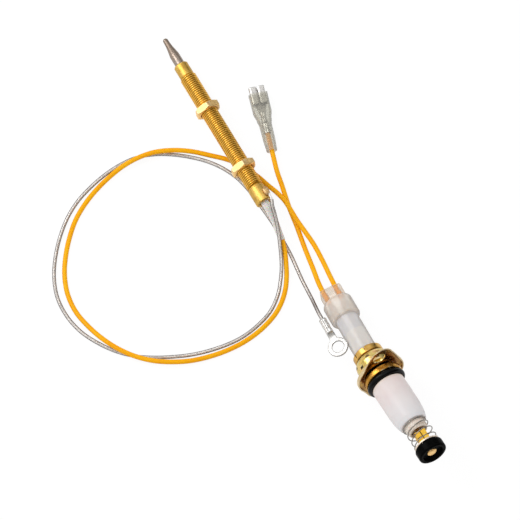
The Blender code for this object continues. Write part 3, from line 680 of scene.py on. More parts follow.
def glass_sleeve():
    """Pale woven sleeve that lets the wire show faintly."""
    s = Shader("glass_sleeve")
    colour = s.mix(s.span(s.noise(0.6), 0.35, 0.65), (0.98, 0.91, 0.86), (1.0, 0.98, 0.96))
    # Painted shade: the sleeve darkens towards its outline.
    colour = s.mix(s.span(s.facing(0.4), 0.44, 0.72), colour, (0.42, 0.30, 0.23))
    weave = s.times(s.wave(0.28, "X"), s.wave(0.28, "Y"))
    s.set(Base_Color=s.mix(s.times(weave, 0.25), colour, (0.74, 0.66, 0.62)), Roughness=0.32)
    s.subsurface(weight=0.2, scale=0.0008)
    s.bump(weave, strength=0.4, depth=0.08)
    s.bump(s.noise(4.0), strength=0.2, depth=0.04)
    s.see_through(s.span(s.facing(0.4), 0.1, 0.5, to=(0.36, 0.06)), tint=(1.0, 0.98, 0.96))


def natural_nylon():
    """Milky nylon, letting what is inside show through, denser and painted darker towards its edges
    as shade.
    """
    s = Shader("natural_nylon")
    light, dark = (0.84, 0.79, 0.73), (0.74, 0.655, 0.58)
    colour = s.mix(s.span(s.noise(0.22, rough=0.55), 0.32, 0.68), dark, light)
    rim = s.facing(0.4)
    # The narrow barrel is whiter below z 9 and greyer above, with a darker line down it below z 9:
    # painted shade of the two wells inside it. The block over the leads is tan.
    barrel_and_well_shade = s.mix(s.span(s.axis("Z"), 8.7, 9.3), (0.93, 0.91, 0.89), (0.83, 0.83, 0.855))
    off_wall_line = s.math("ABSOLUTE", s.math("SUBTRACT", s.axis("X"), 0.5))
    seam = s.times(s.span(off_wall_line, 0.75, 0.35), s.span(s.axis("Z"), 9.0, 8.6))
    barrel_and_well_shade = s.mix(s.times(seam, 0.6), barrel_and_well_shade, (0.80, 0.77, 0.74))
    colour = s.mix(s.span(s.axis("Z"), 18.0, 17.2), colour, barrel_and_well_shade)
    colour = s.mix(s.span(s.axis("Z"), 27.6, 28.2), colour, (0.86, 0.74, 0.62))
    # Painted shade: darker towards the outline.
    colour = s.mix(s.times(s.span(rim, 0.34, 0.62), 0.85), colour, tuple(c * 0.50 for c in dark))
    s.set(Base_Color=colour, Roughness=s.spread(s.noise(1.5, seed=3.0), 0.28, 0.40),
          Specular_IOR_Level=0.45)
    s.subsurface(weight=0.35, scale=0.0022, radius=(1.0, 0.85, 0.7))
    s.bump(s.noise(2.6, detail=4), strength=0.10, depth=0.05)
    s.see_through(s.plus(s.span(rim, 0.05, 0.85, to=(0.42, 0.06)),
                         s.times(s.span(s.axis("Z"), 27.8, 28.4), 0.44)), tint=(0.97, 0.93, 0.88))


def hood_plastic():
    """White plastic, pinkish near the flange and tan at its nose and its lower rim."""
    s = Shader("white_hood_plastic")
    z = s.axis("Z")
    pink = s.mix(s.span(s.noise(0.12, rough=0.5, seed=1.0), 0.35, 0.65),
                 (0.82, 0.72, 0.69), (0.78, 0.64, 0.63))
    colour = s.mix(s.span(z, 8.0, 30.0), pink, (0.77, 0.755, 0.765))
    colour = s.mix(s.span(z, 30.2, 30.6), colour, (0.80, 0.70, 0.61))
    colour = s.mix(s.times(s.span(z, 8.2, 6.8), 0.55), colour, (0.82, 0.66, 0.48))
    s.set(Base_Color=colour, Roughness=s.spread(s.noise(1.4), 0.34, 0.46),
          Specular_IOR_Level=0.4)
    s.subsurface(weight=0.3, scale=0.0015, radius=(1.0, 0.8, 0.75))
    s.bump(s.noise(3.0, detail=4), strength=0.10, depth=0.04)
    s.bump(s.noise(0.5, detail=2, rough=0.5, seed=8.0), strength=0.10, depth=0.10)


def rubber(name, rough, gloss):
    s = Shader(name)
    clouds = s.noise(1.2, detail=4, rough=0.65)
    s.set(Base_Color=s.mix(s.span(clouds, 0.4, 0.7), (0.001, 0.001, 0.001),
                           (0.004, 0.004, 0.004)),
          Roughness=s.spread(clouds, rough - 0.06, rough + 0.10), Specular_IOR_Level=gloss)
    s.bump(s.noise(5.0, detail=4, rough=0.7), strength=0.18, depth=0.05)
    s.bump(s.noise(0.7, detail=2, rough=0.5, seed=4.0), strength=0.12, depth=0.12)


def tin(name, wrinkle, reach, brightness):
    """Tinned sheet, with painted shade within reach (mm) of its edges and towards its outline."""
    s = Shader(name)
    cells = s.texture("ShaderNodeTexVoronoi", output="Distance", inputs={"Scale": 1.6})
    tints = [(0.30, (0.66, 0.645, 0.63)), (0.55, (0.84, 0.83, 0.81)), (0.70, (0.96, 0.95, 0.94))]
    colour = s.ramp(s.noise(0.8, detail=4),
                    [(at, tuple(c * brightness for c in tint)) for at, tint in tints])
    # Painted shade: dark near edges and creases, and towards the outline.
    edge_shade_ao = s.node("ShaderNodeAmbientOcclusion", inside=True, samples=6)
    edge_shade_ao.inputs["Distance"].default_value = reach * MM
    rim = s.math("MAXIMUM", s.span(s.facing(0.45), 0.45, 0.95),
                 s.span(edge_shade_ao.outputs["AO"], 0.99, 0.66, to=(0.0, 0.95)))
    s.set(Base_Color=s.mix(rim, colour, (0.16, 0.15, 0.145)), Metallic=0.8,
          Roughness=s.spread(s.noise(2.2, detail=4, seed=2.0), 0.20, 0.42))
    s.bump(cells, strength=0.25 * wrinkle, depth=0.10)
    s.bump(s.noise(1.8, detail=4, rough=0.65, seed=5.0), strength=0.5 * wrinkle, depth=0.12)


def clear_boot():
    s = Shader("clear_boot")
    rim = s.facing(0.35)
    # Painted shade: the boot darkens towards its outline.
    s.set(Base_Color=s.mix(s.span(rim, 0.15, 0.95), (0.78, 0.76, 0.70), (0.13, 0.13, 0.10)),
          Roughness=s.spread(s.noise(1.2), 0.12, 0.24), Specular_IOR_Level=0.6)
    s.bump(s.noise(0.6, rough=0.55), strength=0.25, depth=0.15)
    s.see_through(s.span(rim, 0.12, 0.60, to=(0.84, 0.08)), tint=(0.905, 0.90, 0.865))


def solder():
    s = Shader("solder")
    s.set(Base_Color=s.ramp(s.noise(1.2, detail=4),
                            [(0.35, (0.50, 0.30, 0.12)), (0.55, (0.64, 0.42, 0.19)),
                             (0.70, (0.78, 0.58, 0.34))]),
          Metallic=0.8, Roughness=s.spread(s.noise(3.0), 0.36, 0.52))
    s.bump(s.noise(1.6, seed=2.0), strength=0.4, depth=0.15)


def ceramic():
    s = Shader("ceramic")
    s.set(Base_Color=s.ramp(s.noise(1.0, detail=4),
                            [(0.3, (0.80, 0.76, 0.68)), (0.7, (0.93, 0.91, 0.86))]),
          Roughness=0.6)
    s.bump(s.noise(5.0, detail=4, rough=0.7), strength=0.4, depth=0.05)


def dark_insert():
    s = Shader("dark_insert")
    s.set(Base_Color=s.ramp(s.noise(1.0, detail=4),
                            [(0.3, (0.03, 0.03, 0.03)), (0.7, (0.08, 0.075, 0.07))]),
          Roughness=s.spread(s.noise(2.0), 0.42, 0.58))
    s.bump(s.noise(4.0, detail=4, rough=0.7), strength=0.3, depth=0.05)


# Metals: name, then tarnished, middling and bright colours.
brass_thread()
metal("brass_turned", (0.50, 0.29, 0.05), (0.68, 0.42, 0.09), (0.80, 0.55, 0.16), rough=0.36,
      lines=1.2, worn=(1.0, 0.86, 0.50))
metal("brass_nut", (0.86, 0.50, 0.15), (0.98, 0.64, 0.22), (1.0, 0.74, 0.32), rough=0.42,
      worn=(1.0, 0.88, 0.62), tone=0.5, scratch=0.6)
metal("clamp_brass", (0.50, 0.27, 0.05), (0.70, 0.41, 0.10), (0.86, 0.56, 0.17), rough=0.25,
      worn=(1.0, 0.90, 0.62), tone=0.4)
metal("base_brass", (0.36, 0.16, 0.02), (0.52, 0.25, 0.04), (0.70, 0.38, 0.08), rough=0.20,
      lines=1.0, worn=(1.0, 0.88, 0.60))
metal("hub_brass", (0.94, 0.50, 0.045), (1.0, 0.62, 0.075), (1.0, 0.72, 0.13), rough=0.42)
metal("rivet_brass", (0.90, 0.54, 0.19), (1.0, 0.66, 0.28), (1.0, 0.76, 0.40), rough=0.36)
passivated_steel()
metal("flange_edge", (0.62, 0.44, 0.24), (0.80, 0.64, 0.38), (0.94, 0.82, 0.58), rough=0.26)
junction_steel()
metal("spring_steel", (0.22, 0.20, 0.18), (0.32, 0.30, 0.28), (0.46, 0.43, 0.40), rough=0.28,
      tone=1.0)
metal("washer_steel", (0.74, 0.62, 0.50), (0.86, 0.74, 0.62), (0.94, 0.84, 0.72), rough=0.50,
      tone=0.8)
metal("soft_iron", (0.46, 0.43, 0.40), (0.58, 0.55, 0.52), (0.70, 0.67, 0.64), rough=0.48,
      tone=0.8)
metal("copper", (0.60, 0.24, 0.12), (0.80, 0.38, 0.22), (0.94, 0.52, 0.34), rough=0.28, tone=1.2)
metal("tinned_strand", (0.86, 0.84, 0.82), (0.95, 0.94, 0.93), (1.0, 1.0, 0.99), rough=0.50,
      tone=0.8)
tin("tinned_plate", wrinkle=0.5, reach=0.60, brightness=1.0)
tin("tinned_strip", wrinkle=0.7, reach=0.27, brightness=0.90)
orange_insulation()
clear_jacket()
glass_sleeve()
clear_boot()
natural_nylon()
hood_plastic()
rubber("black_rubber", rough=0.16, gloss=0.14)
rubber("valve_rubber", rough=0.26, gloss=0.02)
solder()
ceramic()
dark_insert()
# Dark metal put on the sides of dents, slots and grooves as their painted shade.
metal("recess_shade", (0.06, 0.04, 0.02), (0.12, 0.08, 0.04), (0.20, 0.13, 0.06), rough=0.45,
      tone=1.0)

# ------------------------------------------------------------ probe
# Tube: rear collar, relief groove, a true M8 x 1 helix, plain front end and bore, one closed skin.
TUBE_SEGS = 64
PITCH, THREAD_START, THREAD_END = 1.0, 8.8, 72.6
THREAD_ROOT = 3.40
RUN_OUT = 0.9           # length over which the thread fades at either end
# One turn of the thread: share of the pitch, radius.
TOOTH = [(0.00, 3.58), (0.10, 3.58), (0.38, 3.88), (0.46, 3.95), (0.64, 3.95), (0.72, 3.88)]


def flat_rings(profile):
    return [[(r * math.cos(TAU * k / TUBE_SEGS), r * math.sin(TAU * k / TUBE_SEGS), z)
             for k in range(TUBE_SEGS)] for r, z in fillet(profile, 0.10)]


def helix_skin():
    rows = []
    for turn in range(-1, int((THREAD_END - THREAD_START) / PITCH) + 2):
        for share, radius in TOOTH:
            row = []
            for k in range(TUBE_SEGS):
                a = k / TUBE_SEGS
                z = THREAD_START + (turn + share + a) * PITCH
                fade = (min(max((z - THREAD_START) / RUN_OUT, 0.0), 1.0)
                        * min(max((THREAD_END - z) / RUN_OUT, 0.0), 1.0))
                r = THREAD_ROOT + (radius - THREAD_ROOT) * fade
                z = min(max(z, THREAD_START), THREAD_END)
                row.append((r * math.cos(TAU * a), r * math.sin(TAU * a), z))
            rows.append(row)
    faces = []
    for i in range(len(rows) - 1):
        for k in range(TUBE_SEGS):
            # A row's last point meets the first point of the row one turn further on.
            ahead, m = (0, k + 1) if k < TUBE_SEGS - 1 else (len(TOOTH), 0)
            if i + 1 + ahead < len(rows):
                faces.append((i * TUBE_SEGS + k, (i + ahead) * TUBE_SEGS + m,
                              (i + 1 + ahead) * TUBE_SEGS + m, (i + 1) * TUBE_SEGS + k))
    return [v for row in rows for v in row], faces


rear_rings = flat_rings([
    (THREAD_ROOT, THREAD_START), (3.55, 8.7), (3.6, 8.1), (3.75, 7.95), (4.0, 7.85), (4.0, 0.35),
    (3.7, 0.0), (2.45, 0.0), (2.2, 0.25), (2.2, 6.0)])[::-1]
front_rings = flat_rings([
    (THREAD_ROOT, THREAD_END), (3.42, THREAD_END + 0.3), (3.42, 78.7), (3.0, 79.2), (2.3, 79.2),
    (2.2, 79.1), (2.2, 70.0)])
tube_verts, tube_faces = join(skin(rear_rings), helix_skin(), skin(front_rings))
# the bore, joining the two ends
last_ring = len(tube_verts) - TUBE_SEGS
for k in range(TUBE_SEGS):
    m = (k + 1) % TUBE_SEGS
    tube_faces.append((k, m, last_ring + m, last_ring + k))
tube = piece("threaded_tube", (tube_verts, tube_faces), PROBE, "brass_thread", sharp=50.0,
             extra=["brass_turned"])
for poly in tube.data.polygons:
    z = poly.center.z / MM
    if z < THREAD_START - 0.05 or z > THREAD_END + 0.05:
        poly.material_index = 1


def tip_dents(r, z, a):
    """Two shallow hollows on opposite sides of the tip."""
    along = max(0.0, 1 - abs(z - 87.4) / 2.6) if r > 1.31 else 0
    return r * (1.0 - 0.07 * max(0.0, math.sin(2 * a + 0.6)) ** 6 * along), z


turned("probe_tip", PROBE, [
    (0.0, 94.4), (0.75, 94.35, 0.3), (1.22, 93.7, 0.35), (1.32, 91.2, 0.6), (1.5, 89.4, 0.8),
    (2.3, 84.9, 0.8), (2.3, 79.5), (2.1, 79.3), (2.1, 72.0), (1.3, 72.0), (1.3, 83.6),
    (0.0, 84.4)], "junction_steel", shape=tip_dents)
turned("inner_conductor", PROBE, [(0.0, 83.3), (0.6, 83.3), (0.6, 2.6), (0.0, 2.6)],
       "copper", segs=24)
for tag, z in (("front", 60.0), ("rear", 8.0)):
    turned("insulator_bush_" + tag, PROBE, [(0.72, z + 4), (2.05, z + 4), (2.05, z), (0.72, z)],
           "ceramic", segs=40, radius=0.15)
turned("splice_ferrule", PROBE, [(0.68, 4.4), (1.1, 4.4), (1.1, -0.6), (0.68, -0.6)],
       "tinned_plate", segs=32, radius=0.10)


def hex_nut(name, centre_z, body):
    """Hexagon with corners turned off at both faces and a countersunk bore."""
    to_flat, half, bore, face_r = 5.5, 1.6, 4.12, 5.42
    segs, verts = 144, []
    for k in range(segs):
        a = TAU * k / segs + math.radians(30)
        across = to_flat / math.cos(((TAU * k / segs) % (TAU / 6)) - TAU / 12)
        drop = max(0.0, across - face_r) * math.tan(math.radians(30))
        column = [(bore, -half + 0.45), (bore + 0.42, -half), (face_r - 0.05, -half),
                  (min(face_r, across), -half + 0.02), (across - 0.05, -half + drop + 0.02),
                  (across, -half + drop + 0.10)]
        column += [(r, -z) for r, z in column[::-1]]
        verts += [(r * math.cos(a), r * math.sin(a), z + centre_z) for r, z in column]
    count, faces = len(column), []
    for k in range(segs):
        m = (k + 1) % segs
        for j in range(count):
            n = (j + 1) % count
            faces.append((k * count + j, m * count + j, m * count + n, k * count + n))
    piece(name, (verts, faces), PROBE, "brass_nut", body, sharp=24.0)


hex_nut("lock_nut_front", 53.4, "front_nut")
hex_nut("lock_nut_rear", 20.0, "rear_nut")

# ------------------------------------------------------------ leads
SOLDER_TURN = math.radians(52.0)        # where the ground wire meets the tube's collar
WIRE_X, WIRE_Y = 4.9 * math.cos(SOLDER_TURN), 4.9 * math.sin(SOLDER_TURN)
BARREL_RISE = 1.2                       # ring terminal's barrel above its plate
INSULATION_R = 1.12

# Centre lines, as layout points.
MAIN = smooth_path([
    on(PROBE, 0, 0, 2.3), on(PROBE, 0, 0, -2.5),
    (6.4, 17.0, 6.3), (8.5, 12.0, 4.4), (10.1, 8.0, 3.6), (11.2, 2.5, 3.4),
    (11.7, -3.0, 2.7), (11.9, -8.0, 1.6), (11.4, -14.0, 1.1), (9.6, -20.5, 1.1),
    (6.5, -26.5, 1.1), (0.2, -33.7, 1.1), (-7.2, -39.4, 1.1), (-15.1, -43.6, 1.1),
    (-23.2, -46.6, 1.2), (-31.5, -48.8, 2.0), (-39.8, -49.7, 3.0), (-48.0, -49.3, 3.4),
    (-56.3, -47.2, 3.4), (-64.0, -43.7, 3.4), (-71.3, -38.7, 3.0), (-78.0, -32.3, 1.9),
    (-83.8, -25.0, 1.2), (-87.6, -16.5, 1.1), (-89.1, -7.2, 1.1), (-88.7, 2.0, 1.1),
    (-87.1, 10.8, 1.1), (-84.5, 19.2, 1.1), (-80.5, 26.8, 1.1), (-75.6, 33.6, 1.1),
    (-70.0, 39.6, 1.4), (-63.6, 44.9, 2.3), (-56.6, 48.9, 3.2), (-48.8, 51.7, 3.5),
    (-40.4, 52.8, 3.2), (-32.0, 52.7, 2.1), (-23.7, 51.2, 1.2), (-12.5, 48.0, 1.1),
    (-2.0, 41.3, 1.1), (4.0, 35.7, 1.5), (7.3, 32.6, 2.2), (11.0, 28.2, 3.1),
    (13.6, 23.8, 3.5), (16.4, 18.8, 3.5), (19.9, 13.5, 3.4), (24.1, 7.0, 3.4),
    (28.1, -1.0, 3.7), on(PLUG, -3.5, 0, 42.0), on(PLUG, -PORT_X, 0, 35.0),
    on(PLUG, -PORT_X, 0, 26.0), on(PLUG, -PORT_X, 0, 9.5)])
SWITCH = smooth_path([
    on(SPADE, 0, 0, 13.5), on(SPADE, 0, 0, 22.0), on(SPADE, 0, 0, 33.0),
    on(SPADE, 0.0, 0.0, 43.0), (9.7, 36.6, 1.8), (11.6, 30.5, 1.15),
    (13.4, 24.8, 1.1), (16.5, 16.6, 1.1), (20.3, 5.2, 1.8), (24.1, -5.6, 3.4),
    on(PLUG, 2.6, 0, 42.0), on(PLUG, PORT_X, 0, 35.0),
    on(PLUG, PORT_X, 0, 26.0), on(PLUG, PORT_X, 0, 9.5)])
GROUND = smooth_path([
    on(PROBE, -WIRE_X, WIRE_Y, 4.6), on(PROBE, -WIRE_X, WIRE_Y, -0.6),
    (5.4, 22.3, 12.1), (6.4, 19.3, 10.5), (7.5, 15.0, 8.5), (8.3, 10.6, 7.0),
    (8.9, 5.5, 5.6), (9.4, 0.5, 4.3), (9.6, -4.6, 3.0), (9.1, -10.5, 1.5),
    (7.9, -17.0, 0.95), (4.4, -25.0, 0.95), (-1.6, -31.9, 0.95), (-8.6, -37.4, 0.95),
    (-16.2, -41.2, 0.95), (-24.0, -43.9, 0.95), (-31.8, -45.7, 0.95), (-39.8, -46.6, 0.95),
    (-48.0, -46.9, 0.95), (-56.4, -46.3, 0.95), (-65.1, -44.0, 0.95), (-73.2, -40.2, 0.95),
    (-81.2, -34.7, 0.95), (-87.7, -27.3, 0.95), (-92.2, -18.2, 0.95), (-93.9, -8.0, 0.95),
    (-93.3, 2.1, 0.95), (-91.3, 11.7, 0.95), (-88.1, 20.7, 0.95), (-83.6, 28.6, 0.95),
    (-77.8, 35.5, 0.95), (-71.4, 41.5, 0.95), (-64.4, 46.5, 0.95), (-56.8, 50.1, 0.95),
    (-48.6, 51.6, 0.95), (-40.4, 51.5, 0.95), (-32.4, 50.3, 0.95), (-24.6, 48.2, 0.95),
    (-17.3, 44.8, 0.95), (-10.6, 39.9, 0.95), (-5.0, 33.6, 0.95), (-0.3, 26.9, 0.95),
    (5.3, 18.4, 0.95), (10.4, 9.2, 0.97), (14.0, 2.0, 1.08), (16.4, -3.9, 1.6),
    (19.1, -11.0, 3.4), (23.1, -20.4, 6.4), on(RING, 0, BARREL_RISE, 19.0),
    on(RING, 0, BARREL_RISE, 15.6), on(RING, 0, BARREL_RISE, 9.6)])


def lead_core(name, path):
    piece(name, sweep(even(path, 2.5), 0.5, 12), WORLD, "copper")


def insulation(name, path):
    """Orange tube, its lowest stretches lifted to lie on the floor, not in it."""
    points = [Vector((p.x, p.y, max(p.z, INSULATION_R + 0.01))) for p in even(path, 1.4)]
    piece(name, pipe(points, INSULATION_R, 0.64), WORLD, "orange_insulation")


sleeve_start = nearest(MAIN, on(PROBE, 0, 0, -0.4))
sleeve_end = nearest(MAIN, (10.0, 8.3, 3.6))
main_end = nearest(MAIN, on(PLUG, -PORT_X, 0, 27.5))
lead_core("main_lead_core", MAIN)
piece("splice_sleeve",
      pipe([on(PROBE, 0, 0, 4.9)] + even(MAIN[sleeve_start:sleeve_end], 0.8),
           outer=1.95, inner=1.65, segs=32, lip=0.10, taper=0.70), WORLD, "glass_sleeve")
# The insulation starts one span of the path inside the sleeve.
insulation("main_lead_insulation", MAIN[sleeve_end - 24:main_end])

switch_start = nearest(SWITCH, on(SPADE, 0, 0, 19.6))
switch_end = nearest(SWITCH, on(PLUG, PORT_X, 0, 27.5))
lead_core("switch_lead_core", SWITCH)
insulation("switch_lead_insulation", SWITCH[switch_start:switch_end])

# Ground lead: six strands twisted round a seventh, in a clear jacket.
STRAND_STEP, STRAND_LAY, STRAND_OFFSET = 0.9, 9.0, 0.355
ground_points = even(GROUND, STRAND_STEP)
ground_triads = transport(ground_points)
strands = [sweep(ground_points, 0.185, 6)]
for k in range(6):
    line = []
    for i, (p, (_, normal, binormal)) in enumerate(zip(ground_points, ground_triads)):
        a = TAU * (i * STRAND_STEP / STRAND_LAY + k / 6)
        line.append(p + normal * (STRAND_OFFSET * math.cos(a))
                    + binormal * (STRAND_OFFSET * math.sin(a)))
    strands.append(sweep(line, 0.175, 6))
piece("ground_lead_strand", join(*strands), WORLD, "tinned_strand", weld=False)
jacket_start = nearest(GROUND, on(PROBE, -WIRE_X, WIRE_Y, -1.4))
jacket_end = nearest(GROUND, on(RING, 0, BARREL_RISE, 15.9))
piece("ground_lead_jacket", pipe(even(GROUND[jacket_start:jacket_end], 1.4), 0.84, 0.66),
      WORLD, "clear_jacket")

# The joint that ties the ground strand to the tube: a bead run out along the wire.
BEAD_OUT = 4.7          # its middle from the tube's axis
BEAD_REST = 3.98        # it is pushed out to this radius where it meets the collar
bead_rows = []
for i in range(25):
    th = math.pi * i / 24
    row = []
    for k in range(36):
        a = TAU * k / 36
        uneven = (1 + 0.05 * math.sin(3 * a + 1.0) * math.sin(th)
                  + 0.04 * math.sin(5 * th + 2 * a))
        x = 1.12 * uneven * math.sin(th) * math.cos(a)
        y = 1.30 * uneven * math.sin(th) * math.sin(a) * (1.25 - 0.35 * math.cos(a))
        z = 2.5 * math.cos(th) * (1 + 0.05 * math.sin(2 * a))
        r = math.hypot(BEAD_OUT + x, y)
        if r < BEAD_REST:
            x = (BEAD_OUT + x) * BEAD_REST / r - BEAD_OUT
            y = y * BEAD_REST / r
        row.append((x, y, z))
    bead_rows.append(row)
bead_at = (-BEAD_OUT * math.cos(SOLDER_TURN), BEAD_OUT * math.sin(SOLDER_TURN), 3.4)
piece("ground_solder_joint",
      shift_mesh(skin(bead_rows), bead_at, Matrix.Rotation(math.pi - SOLDER_TURN, 3, "Z")),
      PROBE, "solder", sharp=60.0)

# ------------------------------------------------------------ ring terminal
EYE_SEGS = 192
HOLE_R, EYE_R = 2.75, 4.7
NECK, NECK_END = 1.7, 7.4               # the neck's half width and its end
HALF_T, EDGE = 0.4, 0.14                # half the plate's thickness, edge chamfer


def eyelet_edge(a):
    """Outline of the eye and its neck from the hole's middle; a = 0 points along the neck."""
    s, c = abs(math.sin(a)), math.cos(a)
    if c <= 0:
        return EYE_R
    side = NECK / max(s, 1e-6)
    blend = EYE_R
    if side > EYE_R - 1.2:
        blend = 0.5 * (EYE_R + side + math.sqrt((EYE_R - side) ** 2 + 0.12))
    return min(max(EYE_R, blend), NECK_END / c)


eye_rows = []
# inset from the edge, height, whether at the hole
for inset, y, inner in ((0, HALF_T - EDGE, True), (EDGE, HALF_T, True), (EDGE, HALF_T, False),
                        (0, HALF_T - EDGE, False), (0, EDGE - HALF_T, False),
                        (EDGE, -HALF_T, False), (EDGE, -HALF_T, True), (0, EDGE - HALF_T, True)):
    row = []
    for k in range(EYE_SEGS):
        a = TAU * k / EYE_SEGS
        r = HOLE_R + inset if inner else eyelet_edge(a) - inset
        dish = 0.05 * math.sin(2 * a + 0.7)
        row.append((r * math.sin(a), y + dish * (r - HOLE_R) / 2, r * math.cos(a)))
    eye_rows.append(row)
eye = piece("ring_terminal", skin(eye_rows, closed=True), RING, "tinned_plate", sharp=35.0)


def ring_crimp(r, z, a):
    """Barrel skin: a lengthways seam and the hollows left by the crimping tool."""
    if r < 1.0:
        return r, z
    seam = 0.28 * bell(turn_from(a, math.pi / 2), 0, 0.13)
    tool = bell(z, 10.2, 0.9) + 0.8 * bell(z, 13.4, 0.7)
    pinch = 0.22 * tool * (0.35 + 0.65 * abs(math.cos(a + 0.4)))
    return r - seam - pinch + 0.05 * math.sin(3 * a) * math.sin(1.7 * z), z


ring_barrel = fillet([(0.0, 8.6), (0.72, 8.6), (0.72, 15.2), (1.75, 15.2)]
                     + [(1.75, 15.2 - 0.35 * i) for i in range(1, 22)]
                     + [(1.6, 7.3), (0.0, 7.2)], steps=2)
neck = loft([(5.4, 1.68, 0.36, 6.0, 0.0), (6.4, 1.72, 0.75, 3.6, 0.38),
             (7.6, 1.76, 1.55, 2.4, 1.1), (8.3, 1.70, 1.62, 2.0, 1.2)], 48)
cut(eye, [neck, shift_mesh(lathe(ring_barrel[::-1], 48, ring_crimp), (0, BARREL_RISE, 0))],
    "UNION")
shade(eye, 38.0)

# ------------------------------------------------------------ spade terminal
SPADE_W, SHEET = 3.6, 0.45              # half width, sheet thickness


def rolled_side():
    """Middle line (x, y) of the bent sheet on the -x side, from its free edge to the floor."""
    line = [(-0.42, 0.80), (-0.58, 1.02), (-0.95, 1.12), (-1.8, 1.12), (-2.75, 1.12)]
    for k in range(1, 7):
        a = math.pi / 2 + math.pi / 2 * k / 6
        line.append((-2.75 + 0.62 * math.cos(a), 0.50 + 0.62 * math.sin(a)))
    line.append((-3.37, -0.6))
    for k in range(1, 6):
        a = math.pi + math.pi / 2 * k / 5
        line.append((-2.87 + 0.5 * math.cos(a), -0.62 + 0.5 * math.sin(a)))
    return line + [(-1.4, -1.12), (-1.2, -1.02), (-0.6, -1.0)]


def sheet_outline(points, half):
    """Both faces of a sheet about its middle line, as one loop."""
    one, two = [], []
    for i, p in enumerate(points):
        a, b = Vector(points[max(i - 1, 0)]), Vector(points[min(i + 1, len(points) - 1)])
        along = (b - a).normalized()
        normal = Vector((-along.y, along.x))
        one.append(Vector(p) + normal * half)
        two.append(Vector(p) - normal * half)
    return one + two[::-1]


sheet_line = rolled_side()
sheet_line += [(-x, y) for x, y in sheet_line[::-1]]
spade_rows = []
# z, how much thinner each face is; the mouth is flared
for z, thin in ((0.0, 0.10), (0.12, 0.0), (2.0, 0.0), (4.0, 0.0), (6.0, 0.0), (8.48, 0.0),
                (8.6, 0.10)):
    grow = 0.10 * max(0.0, 1 - z / 1.2)
    flared = [(x * (1 + grow / SPADE_W), y * (1 + grow)) for x, y in sheet_line]
    spade_rows.append([(p.x, p.y, z) for p in sheet_outline(flared, SHEET / 2 - thin)])
spade_verts, spade_faces = skin(spade_rows)
count = len(spade_rows[0])
for i in (0, len(spade_rows) - 1):
    for k in range(count // 2 - 1):
        spade_faces.append((i * count + k, i * count + k + 1,
                            i * count + count - 2 - k, i * count + count - 1 - k))
spade = piece("spade_terminal", (spade_verts, spade_faces), SPADE, "tinned_strip", sharp=35.0)


def spade_crimp(r, z, a):
    """Barrel skin: a lengthways seam and two crimps."""
    if r < 1.3:
        return r, z
    dent = 0.25 * bell(z, 15.2, 0.8) + 0.22 * bell(z, 21.0, 0.9)
    seam = 0.24 * bell(turn_from(a, math.pi / 2), 0, 0.15)
    return r - seam - dent * (0.4 + 0.6 * abs(math.cos(a))), z


spade_barrel = fillet([(1.22, 23.6), (1.75, 23.6)] + [(1.75, 23.6 - 0.4 * i) for i in range(1, 13)]
                      + [(1.42, 17.9)] + [(1.42, 17.9 - 0.4 * i) for i in range(1, 13)]
                      + [(1.4, 12.6), (0.64, 12.6), (0.64, 17.6), (1.22, 18.2)],
                      radius=0.10, steps=2, closed=True)
tongue = loft([(6.8, 2.9, 0.22, 8.0, -1.115), (9.4, 2.6, 0.24, 7.0, -1.10),
               (12.2, 1.75, 0.50, 4.0, -0.90), (13.6, 1.38, 0.75, 2.6, -0.68)], 48)
cut(spade, [lathe(spade_barrel, 40, spade_crimp), tongue], "UNION")
cut(spade, [rod(1.21, 18.3, 24.0, 40), rod(0.64, 12.4, 18.4, 32)])
shade(spade, 38.0)

piece("spade_boot", loft([
    (3.6, 4.45, 2.75, 4.0, 0.0), (6.0, 4.40, 2.74, 3.9, 0.0), (12.6, 4.35, 2.75, 3.4, 0.0),
    (16.6, 3.5, 2.7, 2.4, 0.0), (19.4, 2.95, 2.65, 2.0, 0.0), (26.0, 2.85, 2.6, 2.0, 0.0),
    (32.4, 2.5, 2.5, 2.0, 0.0)], 72, wall=0.5), SPADE, "clear_boot", "boot", sharp=50.0)

# ------------------------------------------------------------ plug
plug = turned("plug_housing", PLUG, [
    (0, 28.2), (5.9, 28.2, 0.4), (6.7, 27.8, 0.6), (7.0, 27.0, 0.6), (7.0, 18.6, 0.6),
    (6.7, 17.9, 0.5), (5.9, 17.6, 0.3), (5.5, 17.5, 0.1), (5.5, -1.7), (5.2, -1.9),
    (5.2, -5.9, 0.2), (4.9, -6.2), (0, -6.2)], "natural_nylon", segs=96)
block = loft([(27.4, 5.15, 4.0, 9.0, 0.0), (34.4, 5.15, 4.0, 9.0, 0.0),
              (34.9, 4.95, 3.8, 8.0, 0.0), (35.1, 4.55, 3.4, 7.0, 0.0)], 96)
cut(plug, [block], "UNION")
port = lathe([(0, 36.0), (1.75, 36.0), (1.4, 34.6), (1.4, 27.0), (1.75, 26.4), (1.75, 9.4),
              (2.1, 9.0), (2.1, -7.0), (0, -7.0)], 40)
for side, x in (("left", PORT_X), ("right", -PORT_X)):
    cut(plug, [shift_mesh(port, (x, 0, 0))])
    turned("plug_contact_" + side, PLUG, [
        (0.62, 24.0), (1.15, 24.0), (1.15, 8.6), (1.5, 8.0), (1.5, -4.6), (1.3, -4.9),
        (1.0, -4.9), (1.0, 7.6), (0.62, 8.2)], "brass_turned", segs=32, at=(x, 0, 0))
shade(plug, 35.0)

# ------------------------------------------------------------ magnet unit
# Clamp nut with eight slots across its rear face.
clamp = turned("clamp_nut", MAGNET, [
    (6.14, -9.8), (6.9, -9.8, 0.2), (7.15, -10.1, 0.2), (7.15, -12.5, 0.35), (6.75, -13.0, 0.35),
    (6.35, -13.0, 0.15), (6.14, -12.8)], "clamp_brass", segs=144, radius=0.08, steps=4,
    body="magnet_unit")
# The slots' sides get the dark metal: painted shade.
cut(clamp, [box((20, 0.45, 4.6), (0, 0, -13.1), Matrix.Rotation(math.radians(11 + 45 * k), 3, "Z"))
            for k in range(4)], material="recess_shade")
shade(clamp, 35.0)

